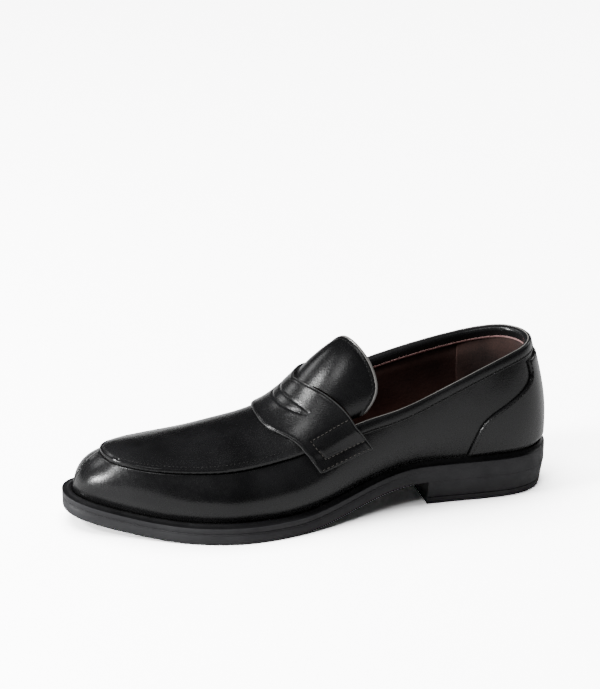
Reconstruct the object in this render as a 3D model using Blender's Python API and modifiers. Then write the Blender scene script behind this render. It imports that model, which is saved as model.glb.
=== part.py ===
"""A man's penny loafer for the left foot, as the pieces that a shoemaker would put together.

Lengths are in millimetres in this file and become metres where a mesh is made. X runs from the heel
to the toe, +Y is the outer (lateral) side and Z is up. The design is drawn with x = 0 at the back of
the heel; the empty "last" moves it so that the origin is under the middle of the shoe.

The upper is one imagined surface, the skin. Leather, lining and stiffeners are patches of it, each at
its own distance from it: plus is outwards, minus is towards the foot.
"""

import math

import bmesh
import bpy
import numpy as np

MM = 0.001

# ---------------------------------------------------------------- sole outline and heights
LENGTH = 300.0
HEEL_RADIUS = 31.0
STATIONS = 16  # from the middle of the heel (0) to the middle of the toe (16), on each side
LAST_FULL_STATION = 14.7
STATION_X = (55, 80, 105, 130, 155, 180, 205, 230, 252, 270, 285, 296)
LATERAL_Y = (31.0, 30.1, 32.0, 38.3, 46.0, 51.4, 51.8, 45.2, 35.2, 25.8, 17.8, 8.6)
MEDIAL_Y = (-31.0, -28.4, -25.8, -27.3, -34.0, -44.8, -51.9, -51.2, -45.2, -37.2, -28.4, -17.6)
TOE_Y = -4.0
HEEL_ARC_X = (4.0, 14.0, HEEL_RADIUS)

HEEL_SEAT_Z = 26.2  # top of the welt at the heel
TREAD_Z = 10.5  # top of the welt at the tread, which rests on the floor
WAIST_BACK_X = 85.0
WAIST_FRONT_X = 172.0
TREAD_END_X = 225.0
TOE_SPRING = 10.1
SOLE_THICKNESS = 10.5  # welt and outsole together
WELT_THICKNESS = 3.3
WELT_WIDTH = 13.0
GAP = 0.3  # between pieces that touch

HEEL_BREAST_X = 83.0
HEEL_TAPER = 2.3  # how much narrower the heel is all round at the floor
LIFT_THICKNESS = 4.3
HEEL_TOP_Z = HEEL_SEAT_Z - SOLE_THICKNESS - GAP

FILLER_DROP = 0.4  # of the filler and the shank under the top of the welt
FILLER_CLEARANCE = 0.5  # between the filler and the inside of the welt
SHANK_X = (24.0, 128.0)
SHANK_HALF_WIDTH = 7.0
SHANK_THICKNESS = 1.1
SHANK_BED_DEPTH = 1.5
SHANK_BED_END_X = 140.0
INSOLE_INSET = 11.4
INSOLE_THICKNESS = 2.0
SOCK_INSET = 11.6
SOCK_THICKNESS = 1.0
HEEL_PAD_INSET = 15.0
HEEL_PAD_THICKNESS = 2.0
HEEL_PAD_FRONT_X = 72.0
HEEL_PAD_EDGE = 0.1  # its thickness where it runs out
HEEL_PAD_RAMP = 30.0
NAIL_RADIUS = 1.5
NAIL_BOTTOM_Z = LIFT_THICKNESS + 4.0
NAIL_PLACES = ((20.0, 0.0), (34.0, 10.5), (34.0, -10.5), (58.0, 12.0), (58.0, -12.0))

# ---------------------------------------------------------------- upper
# How far the upper's foot (feather line) is inside the sole's edge, from heel to toe.
FEATHER_INSET = (2.8, 3.2, 4.0, 4.5, 4.5, 4.8, 5.3, 5.8, 6.2, 6.3, 6.3, 6.3, 6.3, 6.3, 6.4, 6.5, 6.5)
WALL_BULGE_LATERAL = (3.2, 3.6, 4.4, 5.0, 5.0, 5.5, 6.0, 6.3, 6.5, 7.0, 7.0, 6.5, 5.6, 5.0, 4.5, 4.2, 4.1)
WALL_BULGE_MEDIAL = (3.2, 3.6, 4.4, 5.0, 5.0, 4.8, 4.6, 5.2, 6.2, 7.0, 7.5, 7.6, 7.4, 7.2, 6.8, 5.6, 4.1)
# Top edge of the side walls: the topline at the back, the apron seam at the front.
RAIL_BACK = (12.5, 0.0, 93.8)
RAIL_LATERAL = (
    (15.0, 10.5, 93.6), (22.5, 19.5, 92.6), (36.0, 25.5, 89.8), (55.0, 29.5, 83.8),
    (80.0, 32.0, 74.2), (105.0, 33.5, 65.4), (130.0, 34.3, 59.4), (155.0, 35.2, 48.5),
    (180.0, 36.6, 42.8), (205.0, 38.0, 40.6), (229.0, 35.8, 41.3), (249.0, 30.8, 42.6),
    (262.0, 24.0, 43.4), (271.0, 15.8, 43.8), (275.4, 6.5, 43.8),
)
RAIL_MEDIAL = (
    (15.0, -10.5, 93.6), (22.5, -19.5, 92.8), (36.0, -25.5, 90.4), (55.0, -29.5, 86.2),
    (80.0, -31.0, 80.6), (105.0, -31.6, 74.0), (130.0, -32.5, 64.6), (155.0, -34.0, 51.0),
    (180.0, -34.8, 43.8), (205.0, -34.4, 40.2), (229.0, -32.4, 38.8), (249.0, -27.8, 39.2),
    (261.0, -21.8, 40.6), (270.0, -15.0, 42.0), (274.4, -9.0, 43.2),
)
RAIL_TOE = (276.4, -3.2, 43.8)
# Height of the instep's ridge along the shoe.
CROWN_X = (113.0, 122.0, 131.5, 142.5, 156.6, 168.0, 183.0, 204.0, 228.0, 252.0, 264.0, 271.0, 276.4)
CROWN_Z = (103.0, 102.6, 99.8, 92.4, 78.8, 67.6, 58.2, 52.6, 48.6, 47.4, 47.2, 46.3, 43.8)

UPPER_LEATHER = 1.5
APRON_LEATHER = 1.7
LINING_LEATHER = 1.0
STIFFENER = 0.8
APRON_END = 15.6  # station of its short front edge
APRON_OFFSET = 2.0  # outer face of the apron and tongue
LINING_OFFSET = -2.9  # leaves room for the stiffeners
LINING_TOP_OFFSET = -1.8  # near the topline
VAMP_LINING_OFFSET = -3.6  # on the side walls
APRON_LINING_OFFSET = -0.6
STIFFENER_OFFSET = -1.8
LASTING_MARGIN = 11.0  # turned in under the insole

# Strap edges along the shoe, from the ridge (0) over the seam (1) down the wall (towards 2).
STRAP_ACROSS = (0.0, 0.2, 0.45, 0.72, 0.94, 1.12, 1.38)
STRAP_FRONT_X = (183.0, 182.6, 180.2, 171.8, 163.5, 159.4, 154.8)
STRAP_BACK_X = (156.8, 154.6, 148.8, 139.8, 132.0, 127.2, 121.2)
STRAP_END = 1.38
STRAP_LEATHER = 1.6
BOX_ACROSS = (0.92, 1.21)  # the stitched box at each end of the strap
BOX_SHARE = (0.22, 0.95)
STRAP_CLEARANCE = 0.5  # between the strap and the walls
STRAP_OVER_APRON = 2.2  # how much higher the strap is over the apron
SLOT_END = 0.68
SLOT_CENTRE = 0.585  # shares of the strap's width, from its front edge
SLOT_HALF_WIDTH = 0.10

# The tongue's free edge, from its medial side (-1) over the ridge to the lateral one.
TONGUE_ACROSS = (-1.0, -0.91, -0.80, -0.64, -0.45, -0.24, 0.0, 0.24, 0.45, 0.64, 0.80, 0.91, 1.0)
TONGUE_EDGE_X = (127.5, 126.5, 127.5, 130.0, 132.0, 130.5, 127.0, 122.5, 118.3, 115.8, 116.4, 121.0, 127.5)
TONGUE_TUCK = 9.0  # how far its sides go inside the topline
TONGUE_FRONT_GAP = 0.6

# Front edge of the heel foxing: height on the wall (0 to 1) and station.
FOXING_HEIGHT = (0.0, 0.14, 0.36, 0.48, 0.56, 0.63, 0.70, 0.78, 0.88)
FOXING_STATION = (4.2, 4.12, 3.92, 3.66, 3.15, 2.5, 2.0, 1.85, 1.9)
FOXING_FOOT = 0.075
FOXING_TOP = 0.88
FOXING_LEATHER = 1.2
FOXING_OFFSET = 0.8

ARCH_HALF_ROWS = np.array([0.16, 0.32, 0.48, 0.64, 0.78, 0.9, 1.0])
ARCH_ROWS = np.concatenate([-ARCH_HALF_ROWS[::-1], [0.0], ARCH_HALF_ROWS])
WALL_ROWS = np.array([0.0, 0.06, 0.14, 0.26, 0.4, 0.55, 0.7, 0.8, 0.88, 1.0])

BINDING_OUTSIDE = 5.6
BINDING_INSIDE = 5.0
BINDING_LEATHER = 0.8
BINDING_CLEARANCE = 0.4  # between the binding and what it covers
BINDING_END_STATION = 6.95

HEEL_GRIP_STATION = 4.2  # front edge of the suede patch, on both sides
LINING_SEAM = 0.03  # half the gap between two pieces of lining, in stations
LINING_FOOT = 0.10  # height on the wall where it starts
VAMP_LINING_END = 15.2
COUNTER_STATION = 4.4
COUNTER_ROWS = (0.08, 0.70)
PUFF_STATIONS = (13.2, 18.8)
PUFF_ROWS = (0.10, 0.93)
SEAM = 0.045  # half the gap between the sides at the heel and the toe, in stations

THREAD_RADIUS = 0.4
THREAD_LIFT = THREAD_RADIUS + 0.35  # of its middle above the leather
STITCH_FROM_EDGE = 1.2  # of the row along the binding
TONGUE_STITCH_FROM_EDGE = 2.2
FOXING_STITCH_FROM_EDGE = 0.12  # in stations

MATERIALS = {
    "black_leather": ((0.012, 0.012, 0.013), 0.28, 0.0),
    "black_rubber": ((0.035, 0.035, 0.038), 0.62, 0.0),
    "burgundy_leather": ((0.085, 0.030, 0.024), 0.55, 0.0),
    "suede": ((0.10, 0.050, 0.032), 0.9, 0.0),
    "fibre_board": ((0.30, 0.19, 0.10), 0.85, 0.0),
    "cork": ((0.42, 0.26, 0.14), 0.95, 0.0),
    "foam": ((0.70, 0.66, 0.55), 0.95, 0.0),
    "steel": ((0.55, 0.56, 0.58), 0.35, 1.0),
    "thread": ((0.030, 0.028, 0.026), 0.7, 0.0),
}


# ---------------------------------------------------------------- curves
def cubic(knots, values, at):
    """The natural cubic spline through values at knots, read at the places in at."""
    knots = np.asarray(knots, float)
    values = np.asarray(values, float)
    at = np.asarray(at, float)
    steps = np.diff(knots)
    slopes = (np.diff(values, axis=0).T / steps).T
    system = np.eye(len(knots))
    bends = np.zeros_like(values)
    for i in range(1, len(knots) - 1):
        system[i, i - 1 : i + 2] = steps[i - 1], 2 * (steps[i - 1] + steps[i]), steps[i]
        bends[i] = 6 * (slopes[i] - slopes[i - 1])
    second = np.linalg.solve(system, bends)
    i = np.clip(np.searchsorted(knots, at) - 1, 0, len(steps) - 1)
    h = steps[i]
    before = (knots[i + 1] - at) / h
    after = (at - knots[i]) / h
    if values.ndim == 2:
        h, before, after = h[..., None], before[..., None], after[..., None]
    curve = before * values[i] + after * values[i + 1]
    return curve + ((before**3 - before) * second[i] + (after**3 - after) * second[i + 1]) * h**2 / 6


def ring(values, at):
    """The closed smooth curve through values, one for each station all the way round the shoe."""
    values = np.asarray(values, float)
    count = len(values)
    margin = 8
    wrapped = np.concatenate([values[-margin:], values, values[: margin + 1]])
    return cubic(np.arange(-margin, count + margin + 1), wrapped, np.mod(at, count))


def ease(x):
    """0 below 0, 1 above 1, and smooth between."""
    x = np.clip(x, 0.0, 1.0)
    return x * x * (3 - 2 * x)


def all_round(heel, lateral, medial, toe):
    """Values for every station of the ring, out along the lateral side and back along the medial one."""
    return np.array([heel, *lateral, toe, *list(medial)[::-1]], float)


def sole_outline_points():
    arc = [(x, math.sqrt(HEEL_RADIUS**2 - (HEEL_RADIUS - x) ** 2)) for x in HEEL_ARC_X]
    lateral = arc + list(zip(STATION_X, LATERAL_Y))
    medial = [(x, -y) for x, y in arc] + list(zip(STATION_X, MEDIAL_Y))
    return all_round((0.0, 0.0), lateral, medial, (LENGTH, TOE_Y))


OUTLINE = sole_outline_points()
RAIL = all_round(RAIL_BACK, RAIL_LATERAL, RAIL_MEDIAL, RAIL_TOE)
INSET = all_round(FEATHER_INSET[0], FEATHER_INSET[1:-1], FEATHER_INSET[1:-1], FEATHER_INSET[-1])
BULGE = all_round(
    WALL_BULGE_LATERAL[0], WALL_BULGE_LATERAL[1:-1], WALL_BULGE_MEDIAL[1:-1], WALL_BULGE_LATERAL[-1]
)


def outline(u, inset=0.0):
    """Points of the sole's edge at ring stations u, moved in by inset, and the outward directions."""
    step = 0.02
    point = ring(OUTLINE, u)
    along = ring(OUTLINE, np.asarray(u) + step) - ring(OUTLINE, np.asarray(u) - step)
    along /= np.linalg.norm(along, axis=-1, keepdims=True)
    outward = np.stack([-along[..., 1], along[..., 0]], axis=-1)
    return point - outward * np.asarray(inset)[..., None], outward


def welt_top(x):
    """Height of the welt's upper edge along the shoe."""
    waist = ease((WAIST_FRONT_X - x) / (WAIST_FRONT_X - WAIST_BACK_X))
    spring = np.clip((x - TREAD_END_X) / (LENGTH - TREAD_END_X), 0.0, None) ** 2
    return TREAD_Z + (HEEL_SEAT_Z - TREAD_Z) * waist + TOE_SPRING * spring


def bead_rise(x):
    """How far the welt's bead stands above its edge: more at the heel than at the tread."""
    return 1.6 + 1.2 * ease((WAIST_FRONT_X - x) / (WAIST_FRONT_X - WAIST_BACK_X))


# ---------------------------------------------------------------- the skin
def wall_surface(u, t):
    """The side of the upper at ring station u, from the feather line (t 0) to its top edge (t 1)."""
    u, t = np.broadcast_arrays(np.asarray(u, float), np.asarray(t, float))
    foot, outward = outline(u, ring(INSET, u))
    foot = np.concatenate([foot, welt_top(foot[..., :1]) + GAP], axis=-1)
    outward = np.concatenate([outward, np.zeros_like(outward[..., :1])], axis=-1)
    chord = ring(RAIL, u) - foot
    unit = chord / np.linalg.norm(chord, axis=-1, keepdims=True)
    push = outward - unit * (outward * unit).sum(-1, keepdims=True)
    push /= np.linalg.norm(push, axis=-1, keepdims=True)
    bulge = ring(BULGE, u) * np.sin(math.pi * np.clip(t, 0.0, None) ** 0.88)
    return foot + chord * t[..., None] + push * bulge[..., None]


def arch_surface(k, w):
    """The top of the upper at station k, from the medial edge (w -1) over the ridge to the lateral one."""
    k, w = np.broadcast_arrays(np.asarray(k, float), np.asarray(w, float))
    lateral = ring(RAIL, k)
    medial = ring(RAIL, 2 * STATIONS - k)
    middle = (lateral + medial) / 2
    point = middle + (lateral - medial) / 2 * w[..., None]
    crown = cubic(CROWN_X, CROWN_Z, middle[..., 0])
    power = 1.75 + 0.45 * ease((middle[..., 0] - 150.0) / 60.0)
    point[..., 2] += (crown - middle[..., 2]) * (1 - np.abs(w) ** power)
    return point


def across_surface(k, a):
    """The whole section at station k: the arch for |a| up to 1, then the wall down to |a| 2."""
    k, a = np.broadcast_arrays(np.asarray(k, float), np.asarray(a, float))
    arch = arch_surface(k, np.clip(a, -1, 1))
    side = wall_surface(np.where(a > 0, k, 2 * STATIONS - k), 2 - np.abs(a))
    return np.where(np.abs(a)[..., None] <= 1, arch, side)


def normals(surface, p, q):
    """Directions square to surface(p, q)."""
    step = 0.01
    dp = surface(p + step, q) - surface(p - step, q)
    dq = surface(p, q + step) - surface(p, q - step)
    normal = np.cross(dp, dq)
    return normal / np.linalg.norm(normal, axis=-1, keepdims=True)


def wall(u, t, distance=0.0):
    """Points of the wall, moved outwards by distance."""
    u, t, distance = np.broadcast_arrays(np.asarray(u, float), t, distance)
    return wall_surface(u, t) - normals(wall_surface, u, t) * distance[..., None]


def half_width(k):
    return (ring(RAIL, k)[..., 1] - ring(RAIL, 2 * STATIONS - k)[..., 1]) / 2


def across(k, a, distance=0.0):
    """Like wall, for the whole section. The arch closes to a point at the toe, so its last few normals
    are those of the last full section."""
    k, a, distance = np.broadcast_arrays(np.asarray(k, float), a, distance)
    near = np.minimum(k, LAST_FULL_STATION)
    same_place = np.where(np.abs(a) <= 1, a * half_width(k) / half_width(near), a)
    on_arch = np.abs(a) <= 1
    normal = normals(across_surface, np.where(on_arch, near, k), same_place)
    return across_surface(k, a) + normal * distance[..., None]


def station_at(x):
    """The station whose section is at x, where sections are square to the shoe."""
    k = np.linspace(3, 14, 500)
    return np.interp(x, ring(RAIL, k)[:, 0], k)


def wall_height(u):
    """Length of the wall from its foot to its top edge."""
    return np.linalg.norm(wall_surface(u, 1.0) - wall_surface(u, 0.0), axis=-1)


def ring_columns(first, last, step=0.5):
    """Stations for a wall piece. Pieces share them, and WALL_ROWS, so that layers stay parallel."""
    inside = np.arange(math.ceil((first + 0.1) / step), math.floor((last - 0.1) / step) + 1) * step
    return np.concatenate([[first], inside, [last]])


def wall_rows(low, high):
    return np.concatenate([[low], WALL_ROWS[(WALL_ROWS > low + 0.02) & (WALL_ROWS < high - 0.02)], [high]])


# ---------------------------------------------------------------- mesh making
def clear_scene():
    for obj in list(bpy.data.objects):
        bpy.data.objects.remove(obj)


def material(name):
    found = bpy.data.materials.get(name)
    if found:
        return found
    colour, roughness, metallic = MATERIALS[name]
    made = bpy.data.materials.new(name)
    made.use_nodes = True
    shader = made.node_tree.nodes["Principled BSDF"]
    shader.inputs["Base Color"].default_value = (*colour, 1.0)
    shader.inputs["Roughness"].default_value = roughness
    shader.inputs["Metallic"].default_value = metallic
    return made


def add_object(name, mesh, material_name, parent):
    obj = bpy.data.objects.new(name, mesh)
    bpy.data.collections["penny_loafer"].objects.link(obj)
    mesh.materials.append(material(material_name))
    mesh.shade_smooth()
    mesh.set_sharp_from_angle(angle=math.radians(35))
    obj.parent = parent
    return obj


def mesh_of(name, points, faces, closed):
    """A mesh in metres, with points that coincide joined and, if closed, its faces turned outwards."""
    mesh = bpy.data.meshes.new(name)
    mesh.from_pydata((np.asarray(points).reshape(-1, 3) * MM).tolist(), [], faces)
    bm = bmesh.new()
    bm.from_mesh(mesh)
    bmesh.ops.remove_doubles(bm, verts=bm.verts, dist=0.005 * MM)
    bmesh.ops.dissolve_degenerate(bm, edges=bm.edges, dist=0.001 * MM)
    if closed:
        bmesh.ops.recalc_face_normals(bm, faces=bm.faces)
    bm.to_mesh(mesh)
    bm.free()
    return mesh


def grid_faces(rows, columns):
    return [
        (i * columns + j, (i + 1) * columns + j, (i + 1) * columns + j + 1, i * columns + j + 1)
        for i in range(rows - 1)
        for j in range(columns - 1)
    ]


def loop_faces(count, size, closed=False):
    """Faces between sections that are loops of size points; closed joins the last to the first."""
    faces = []
    for i in range(count if closed else count - 1):
        here = i * size
        there = (i + 1) % count * size
        for j in range(size):
            after = (j + 1) % size
            faces.append((here + j, here + after, there + after, there + j))
    return faces


def leather(name, points, thickness, material_name, parent, flip=False):
    """A sheet whose outer face is the grid of points, solid towards the foot."""
    rows, columns = points.shape[:2]
    faces = grid_faces(rows, columns)
    if flip:
        faces = [face[::-1] for face in faces]
    obj = add_object(name, mesh_of(name, points, faces, closed=False), material_name, parent)
    solid = obj.modifiers.new("thickness", "SOLIDIFY")
    solid.thickness = thickness * MM
    solid.offset = -1.0
    solid.use_even_offset = True
    solid.use_quality_normals = True
    return obj


def loft(name, sections, material_name, parent):
    """A solid through closed sections, each a loop of the same number of points."""
    count, size = sections.shape[:2]
    caps = [tuple(range(size)), tuple((count - 1) * size + j for j in range(size))]
    mesh = mesh_of(name, sections, caps + loop_faces(count, size), closed=True)
    return add_object(name, mesh, material_name, parent)


def slab(name, lateral, medial, top, bottom, material_name, parent):
    """A solid between two sides that are paired point by point; top and bottom give z from x."""
    corners = [
        np.column_stack([lateral, top(lateral[:, 0])]),
        np.column_stack([lateral, bottom(lateral[:, 0])]),
        np.column_stack([medial, bottom(medial[:, 0])]),
        np.column_stack([medial, top(medial[:, 0])]),
    ]
    return loft(name, np.stack(corners, axis=1), material_name, parent)


def sole_sides(inset, first=0.0, last=float(STATIONS), count=33):
    """The two sides of the sole's shape, moved in by inset, from station first to last."""
    k = np.linspace(first, last, count)
    return outline(k, np.full(count, inset))[0], outline(2 * STATIONS - k, np.full(count, inset))[0]


def cut_square(sides, x):
    """The sides up to x only, ending square across."""
    ended = []
    for side in sides:
        kept = side[side[:, 0] < x - 1.0]
        y = np.interp(x, side[:, 0], side[:, 1])
        ended.append(np.vstack([kept, (x, y)]))
    count = min(len(side) for side in ended)
    return [np.vstack([side[: count - 1], side[-1]]) for side in ended]


def thread(name, points, parent):
    """A row of stitching as one thin cord along the points."""
    curve = bpy.data.curves.new(name, "CURVE")
    curve.dimensions = "3D"
    curve.bevel_depth = THREAD_RADIUS * MM
    curve.bevel_resolution = 0
    curve.use_fill_caps = True
    line = curve.splines.new("POLY")
    line.points.add(len(points) - 1)
    for target, point in zip(line.points, points * MM):
        target.co = (*point, 1.0)
    obj = bpy.data.objects.new(name, curve)
    bpy.data.collections["penny_loafer"].objects.link(obj)
    curve.materials.append(material("thread"))
    obj.parent = parent
    return obj


def cut_with(obj, cutter):
    cut = obj.modifiers.new("cut_" + cutter.name, "BOOLEAN")
    cut.operation = "DIFFERENCE"
    cut.object = cutter


def as_cutter(obj):
    """Moves obj to the cutters' collection, out of the model."""
    bpy.data.collections["penny_loafer"].objects.unlink(obj)
    bpy.data.collections["cutters"].objects.link(obj)
    obj.hide_render = True
    obj.display_type = "WIRE"
    return obj


# ---------------------------------------------------------------- sole and heel
def under_welt(x):
    return welt_top(x) - WELT_THICKNESS


def tread(x):
    """The outsole's lower face; it is flat on the floor under the ball of the foot."""
    return np.maximum(welt_top(x) - SOLE_THICKNESS, 0.0)


def make_welt(parent):
    """A strip round the sole's edge with a bead that hides the foot of the upper."""
    u = np.linspace(0, 2 * STATIONS, 65)
    edge, outward = outline(u)
    inset = ring(INSET, u)
    rise = bead_rise(edge[:, 0])
    profile = (
        (0 * inset, -WELT_THICKNESS + 0 * rise),
        (0 * inset, 0 * rise),
        (0.25 * inset, 0.75 * rise),
        (0.5 * inset, rise),
        (inset - 0.6, 0 * rise),
        (WELT_WIDTH + 0 * inset, 0 * rise),
        (WELT_WIDTH + 0 * inset, -WELT_THICKNESS + 0 * rise),
    )
    corners = []
    for across_in, height in profile:
        place = edge - outward * across_in[:, None]
        corners.append(np.column_stack([place, welt_top(place[:, 0]) + height]))
    sections = np.stack(corners, axis=1)[:-1]
    faces = loop_faces(*sections.shape[:2], closed=True)
    add_object("welt", mesh_of("welt", sections, faces, closed=True), "black_rubber", parent)


def make_outsole(parent):
    lateral, medial = sole_sides(0.0)
    return slab("outsole", lateral, medial, lambda x: under_welt(x) - GAP, tread, "black_rubber", parent)


def heel_piece(name, low, high, parent):
    """A slice of the heel between two heights; the heel narrows towards the floor."""
    corners = []
    for z in (low, high):
        sides = cut_square(sole_sides(HEEL_TAPER * (1 - z / HEEL_TOP_Z)), HEEL_BREAST_X)
        corners += [np.column_stack([side, np.full(len(side), z)]) for side in sides]
    lateral_low, medial_low, lateral_high, medial_high = corners
    sections = np.stack([lateral_low, lateral_high, medial_high, medial_low], axis=1)
    return loft(name, sections, "black_rubber", parent)


def nail(name, place, radius, low, high, parent):
    bpy.ops.mesh.primitive_cylinder_add(vertices=12, radius=radius * MM, depth=(high - low) * MM)
    obj = bpy.context.object
    obj.name = name
    obj.data.name = name
    obj.location = (place[0] * MM, place[1] * MM, (low + high) / 2 * MM)
    for collection in list(obj.users_collection):
        collection.objects.unlink(obj)
    bpy.data.collections["penny_loafer"].objects.link(obj)
    obj.data.materials.append(material("steel"))
    obj.parent = parent
    return obj


def make_shank(parent):
    """The spring under the waist, in a bed in the filler."""
    share = np.linspace(0, 1, 15)
    x = SHANK_X[0] + (SHANK_X[1] - SHANK_X[0]) * share
    y = SHANK_HALF_WIDTH * np.sqrt(np.clip(1 - (2 * share - 1) ** 8, 0.02, 1))
    slab(
        "shank", np.column_stack([x, y]), np.column_stack([x, -y]),
        lambda x: welt_top(x) - FILLER_DROP,
        lambda x: welt_top(x) - FILLER_DROP - SHANK_THICKNESS,
        "steel", parent,
    )


def make_filler(parent):
    def top(x):
        bed = SHANK_BED_DEPTH * ease((SHANK_BED_END_X - x) / 6.0)
        return welt_top(x) - FILLER_DROP - bed

    sides = sole_sides(WELT_WIDTH + FILLER_CLEARANCE)
    return slab("cork_filler", *sides, top, under_welt, "cork", parent)


def insole_bottom(x):
    """The insole board lies on the upper's lasting margin."""
    return welt_top(x) + UPPER_LEATHER + 2 * GAP


def insole_top(x):
    return insole_bottom(x) + INSOLE_THICKNESS


def make_insole(parent):
    sides = sole_sides(INSOLE_INSET)
    return slab("insole_board", *sides, insole_top, insole_bottom, "fibre_board", parent)


def make_cushioning(parent):
    """The pad under the heel and the sock liner that covers it."""
    def pad_bottom(x):
        return insole_top(x) + GAP

    def pad_top(x):
        ramp = ease((HEEL_PAD_FRONT_X + 2 - x) / HEEL_PAD_RAMP)
        return pad_bottom(x) + HEEL_PAD_EDGE + HEEL_PAD_THICKNESS * ramp

    def sock_bottom(x):
        lifted = HEEL_PAD_EDGE + HEEL_PAD_THICKNESS + GAP
        return pad_bottom(x) + lifted * ease((HEEL_PAD_FRONT_X + 12 - x) / HEEL_PAD_RAMP)

    def sock_top(x):
        return sock_bottom(x) + SOCK_THICKNESS

    sides = cut_square(sole_sides(HEEL_PAD_INSET), HEEL_PAD_FRONT_X)
    slab("heel_pad", *sides, pad_top, pad_bottom, "foam", parent)
    slab("sock_liner", *sole_sides(SOCK_INSET), sock_top, sock_bottom, "burgundy_leather", parent)


def make_nails(pierced, parent):
    """Nails through the heel, and their holes in the pieces they go through."""
    top = float(insole_top(NAIL_PLACES[0][0])) - GAP
    for number, place in enumerate(NAIL_PLACES, start=1):
        nail(f"heel_nail_{number}", place, NAIL_RADIUS, NAIL_BOTTOM_Z, top, parent)
        hole = nail(f"nail_hole_{number}", place, NAIL_RADIUS + GAP, NAIL_BOTTOM_Z - GAP, top + 3.0, parent)
        as_cutter(hole)
        for piece in pierced:
            cut_with(piece, hole)


def make_bottom(parent):
    """The sole, the heel and what lies between them and the foot."""
    make_welt(parent)
    heel_piece("top_lift", 0.0, LIFT_THICKNESS, parent)
    block = heel_piece("heel_block", LIFT_THICKNESS + GAP, HEEL_TOP_Z, parent)
    outsole = make_outsole(parent)
    filler = make_filler(parent)
    insole = make_insole(parent)
    make_shank(parent)
    make_cushioning(parent)
    make_nails((outsole, block, filler, insole), parent)


# ---------------------------------------------------------------- upper
def make_side(name, first, last, parent):
    """One side of the upper, from the heel seam to the toe seam, with its lasting margin turned in."""
    u = ring_columns(first, last)[:, None]
    visible = wall(u, WALL_ROWS[None, :])
    margin = []
    for turned_in in (LASTING_MARGIN, LASTING_MARGIN / 2):
        place, _ = outline(u[:, 0], ring(INSET, u[:, 0]) + turned_in)
        margin.append(np.column_stack([place, welt_top(place[:, 0]) + GAP]))
    points = np.concatenate([np.stack(margin, axis=1), visible], axis=1)
    return leather(name, points, UPPER_LEATHER, "black_leather", parent, flip=True)


def strap_x(a, edge):
    return cubic(STRAP_ACROSS, edge, np.abs(a))


def strap_base(a):
    """How far the strap's inner face is from the skin: over the apron, then down on the wall."""
    return STRAP_CLEARANCE + STRAP_OVER_APRON * ease((1.22 - np.abs(a)) / 0.2)


def strap_point(a, share, distance):
    """A point of the strap, from its front edge (share 0) to its back edge (share 1)."""
    a, share, distance = np.broadcast_arrays(np.asarray(a, float), share, distance)
    front = strap_x(a, STRAP_FRONT_X)
    back = strap_x(a, STRAP_BACK_X)
    k = station_at(front + (back - front) * share)
    return across(k, a, strap_base(a) + distance)


def make_strap(parent):
    down = np.array([STRAP_END, 1.3, 1.22, 1.14, 1.07])
    a = np.concatenate([-down, ARCH_ROWS, down[::-1]])
    share = np.linspace(0, 1, 6)
    points = strap_point(a[:, None], share[None, :], STRAP_LEATHER)
    strap = leather("saddle_strap", points, STRAP_LEATHER, "black_leather", parent)

    a = np.linspace(-SLOT_END, SLOT_END, 21)
    width = SLOT_HALF_WIDTH * np.sqrt(np.clip(1 - np.abs(a / SLOT_END) ** 3, 0.03, 1))
    corners = [
        strap_point(a, SLOT_CENTRE - width, -1.0), strap_point(a, SLOT_CENTRE - width, 3.0),
        strap_point(a, SLOT_CENTRE + width, 3.0), strap_point(a, SLOT_CENTRE + width, -1.0),
    ]
    slot = loft("penny_slot_cutter", np.stack(corners, axis=1), "black_leather", parent)
    cut_with(strap, as_cutter(slot))


def make_apron(parent):
    """The raised plug over the toes; its back end is under the strap."""
    first = station_at(strap_x(ARCH_ROWS, STRAP_BACK_X) + 1.2)
    share = np.concatenate([np.linspace(0, 0.4, 8), np.linspace(0.48, 0.88, 6), [0.93, 0.97, 1.0]])
    k = first[None, :] + (APRON_END - first[None, :]) * share[:, None]
    points = across(k, ARCH_ROWS[None, :], APRON_OFFSET)
    leather("apron", points, APRON_LEATHER, "black_leather", parent)


def tongue_surface(x, w):
    """The tongue follows the skin and tucks its sides inside the topline."""
    points = across_surface(station_at(x), w)
    points[..., 1] -= np.sign(w) * TONGUE_TUCK * np.abs(w) ** 6
    return points


def tongue_point(x, w, distance):
    x, w = np.broadcast_arrays(x, w)
    return tongue_surface(x, w) + normals(tongue_surface, x, w) * distance


def make_tongue(tongue_root):
    w = ARCH_ROWS * 0.98
    front = strap_x(w, STRAP_BACK_X) - TONGUE_FRONT_GAP
    back = cubic(TONGUE_ACROSS, TONGUE_EDGE_X, w)
    x = back + (front - back) * np.linspace(0, 1, 6)[:, None]
    shift = np.array(tongue_root.location) / MM
    outer = tongue_point(x, w, APRON_OFFSET) - shift
    inner = tongue_point(x, w, APRON_OFFSET - APRON_LEATHER - GAP) - shift
    leather("tongue", outer, APRON_LEATHER, "black_leather", tongue_root)
    leather("tongue_lining", inner, LINING_LEATHER, "burgundy_leather", tongue_root)


def make_foxing(parent):
    """The leather that wraps the heel, wide at the foot and narrow below the topline."""
    heights = np.linspace(FOXING_FOOT, FOXING_TOP, 12)
    reach = cubic(FOXING_HEIGHT, FOXING_STATION, heights)
    share = np.linspace(-1, 1, 17)
    points = wall(share[:, None] * reach[None, :], heights[None, :], FOXING_OFFSET + FOXING_LEATHER)
    leather("heel_foxing", points, FOXING_LEATHER, "black_leather", parent, flip=True)


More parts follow.
